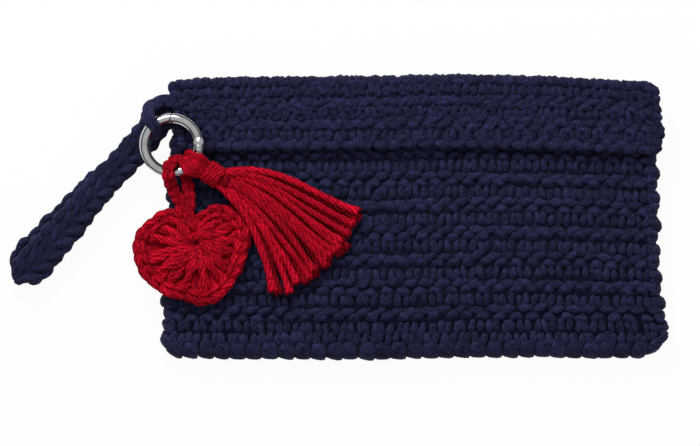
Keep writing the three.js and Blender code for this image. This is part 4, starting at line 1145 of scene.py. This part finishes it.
def fray(pile, tip, out):  # loose fibres at a cut end
    count = (tassel["fibres"], 1)
    side = unit(np.cross(out, up))
    turns = rng.uniform(0, math.tau, count)
    size = tassel["yarn"] * np.sqrt(rng.uniform(0.1, 1, count))
    base = tip + side * (size * np.cos(turns)) + up * (size * np.sin(turns)) - out * 0.6
    reach = rng.uniform(*tassel["fibreReach"], count)
    splay = side * (0.5 * np.cos(turns)) + up * (0.3 * np.sin(turns))
    paths = np.stack([base, base + (out + 0.4 * splay) * reach * 0.5, base + (out + splay) * reach], axis=1)
    pile.strands(paths, tassel["fibreYarn"], sides=5)


def makeTassel():
    pile = YarnPile()
    tasselHead(pile)
    makeBinding()
    fans = [(0, fan) for fan in np.linspace(0.05, 0.95, tassel["under"])]
    fans += [(1, fan) for fan in tassel["over"]]
    for end in [tasselStrand(pile, *fan) for fan in fans]:
        fray(pile, *end)
    pile.build("tassel_yarn", "tassel", red, ["tassel_strands"])


makeStrap()
makeRoot()
makeRing()
makeHeart()
makeHeartLoop()
makeTassel()
for finish, nodes in ((snapSteel, ("snap_stud", "snap_socket")), (steel[0], ("gate_pin", "gate_spring"))):
    for node in nodes:
        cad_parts[node].material_slots[0].material = finish
print("strap, ring and charms done")


# Camera: straight down, with the photo's frame of 700 by 446 at half a millimetre a pixel

scene = bpy.context.scene
view = {"centre": (-32.0, -3.25), "width": 350.0, "distance": 2600.0, "plane": 16.0, "sensor": 36.0}
cameraData = bpy.data.cameras.new("camera")
cameraData.sensor_width = view["sensor"]
cameraData.lens = view["sensor"] * view["distance"] / view["width"]
cameraData.clip_end = 20
camera = bpy.data.objects.new("camera", cameraData)
camera.location = Vector((*view["centre"], view["plane"] + view["distance"])) * mm
scene.collection.objects.link(camera)
scene.camera = camera
print("camera set")


# Studio: pale floor, one broad soft light from the top of the picture, an even surround

studio = {
    "world": [(0.0, 0.04), (0.46, 0.07), (0.60, 0.50), (1.0, 0.66)],
    "key": 19.0, "keySize": 0.7, "keyAt": (-0.35, 1.05, 1.15), "keyAim": (-0.02, 0.0, 0.0),
    "floorSize": 6.0, "floorDrop": 0.0004, "floorTone": 0.90, "floorGlow": 0.95,
}


def makeStudio():
    floorMesh = bpy.data.meshes.new("floor")
    reach = studio["floorSize"]
    corners = [(x * reach, y * reach, 0) for x, y in ((-1, -1), (1, -1), (1, 1), (-1, 1))]
    floorMesh.from_pydata(corners, [], [(0, 1, 2, 3)])
    floor = bpy.data.objects.new("floor", floorMesh)
    floor.location = (0, 0, -studio["floorDrop"])
    scene.collection.objects.link(floor)
    shader = Shader("pale_floor")
    seen = shader.node("ShaderNodeLightPath")
    mirrored = seen.maths("MAXIMUM", seen.other("Is Glossy Ray"), seen.other("Is Transmission Ray"))
    matte = shader.node("ShaderNodeBsdfDiffuse", {}, {"Color": (studio["floorTone"],) * 3})
    glow = shader.node("ShaderNodeEmission", {}, {"Color": (1, 1, 1), "Strength": 1.0})
    share = seen.maths("MAXIMUM", seen, mirrored) * studio["floorGlow"]
    surface = shader.node("ShaderNodeMixShader", {}, {0: share, 1: matte, 2: glow})
    floorMesh.materials.append(shader.finish(surface))

    surround = Shader("surround", "worlds")
    height = surround.node("ShaderNodeSeparateXYZ", {}, {0: surround.node("ShaderNodeTexCoord")}, 2)
    stops = [(place, (tone,) * 3) for place, tone in studio["world"]]
    tone = surround.node("ShaderNodeValToRGB", {"stops": stops}, {0: height})
    tone = surround.mix(surround.node("ShaderNodeLightPath"), tone, (1, 1, 1))
    sky = surround.node("ShaderNodeBackground", {}, {"Color": tone, "Strength": 1.0})
    scene.world = surround.finish(sky, "ShaderNodeOutputWorld")

    lamp = bpy.data.lights.new("key", "AREA")
    lamp.shape = "SQUARE"
    lamp.size = studio["keySize"]
    lamp.energy = studio["key"]
    key = bpy.data.objects.new("key", lamp)
    key.location = studio["keyAt"]
    aim = Vector(studio["keyAim"]) - key.location
    key.rotation_euler = aim.to_track_quat("-Z", "Y").to_euler()
    scene.collection.objects.link(key)
    scene.view_settings.view_transform = "Standard"
    print("studio set")


makeStudio()
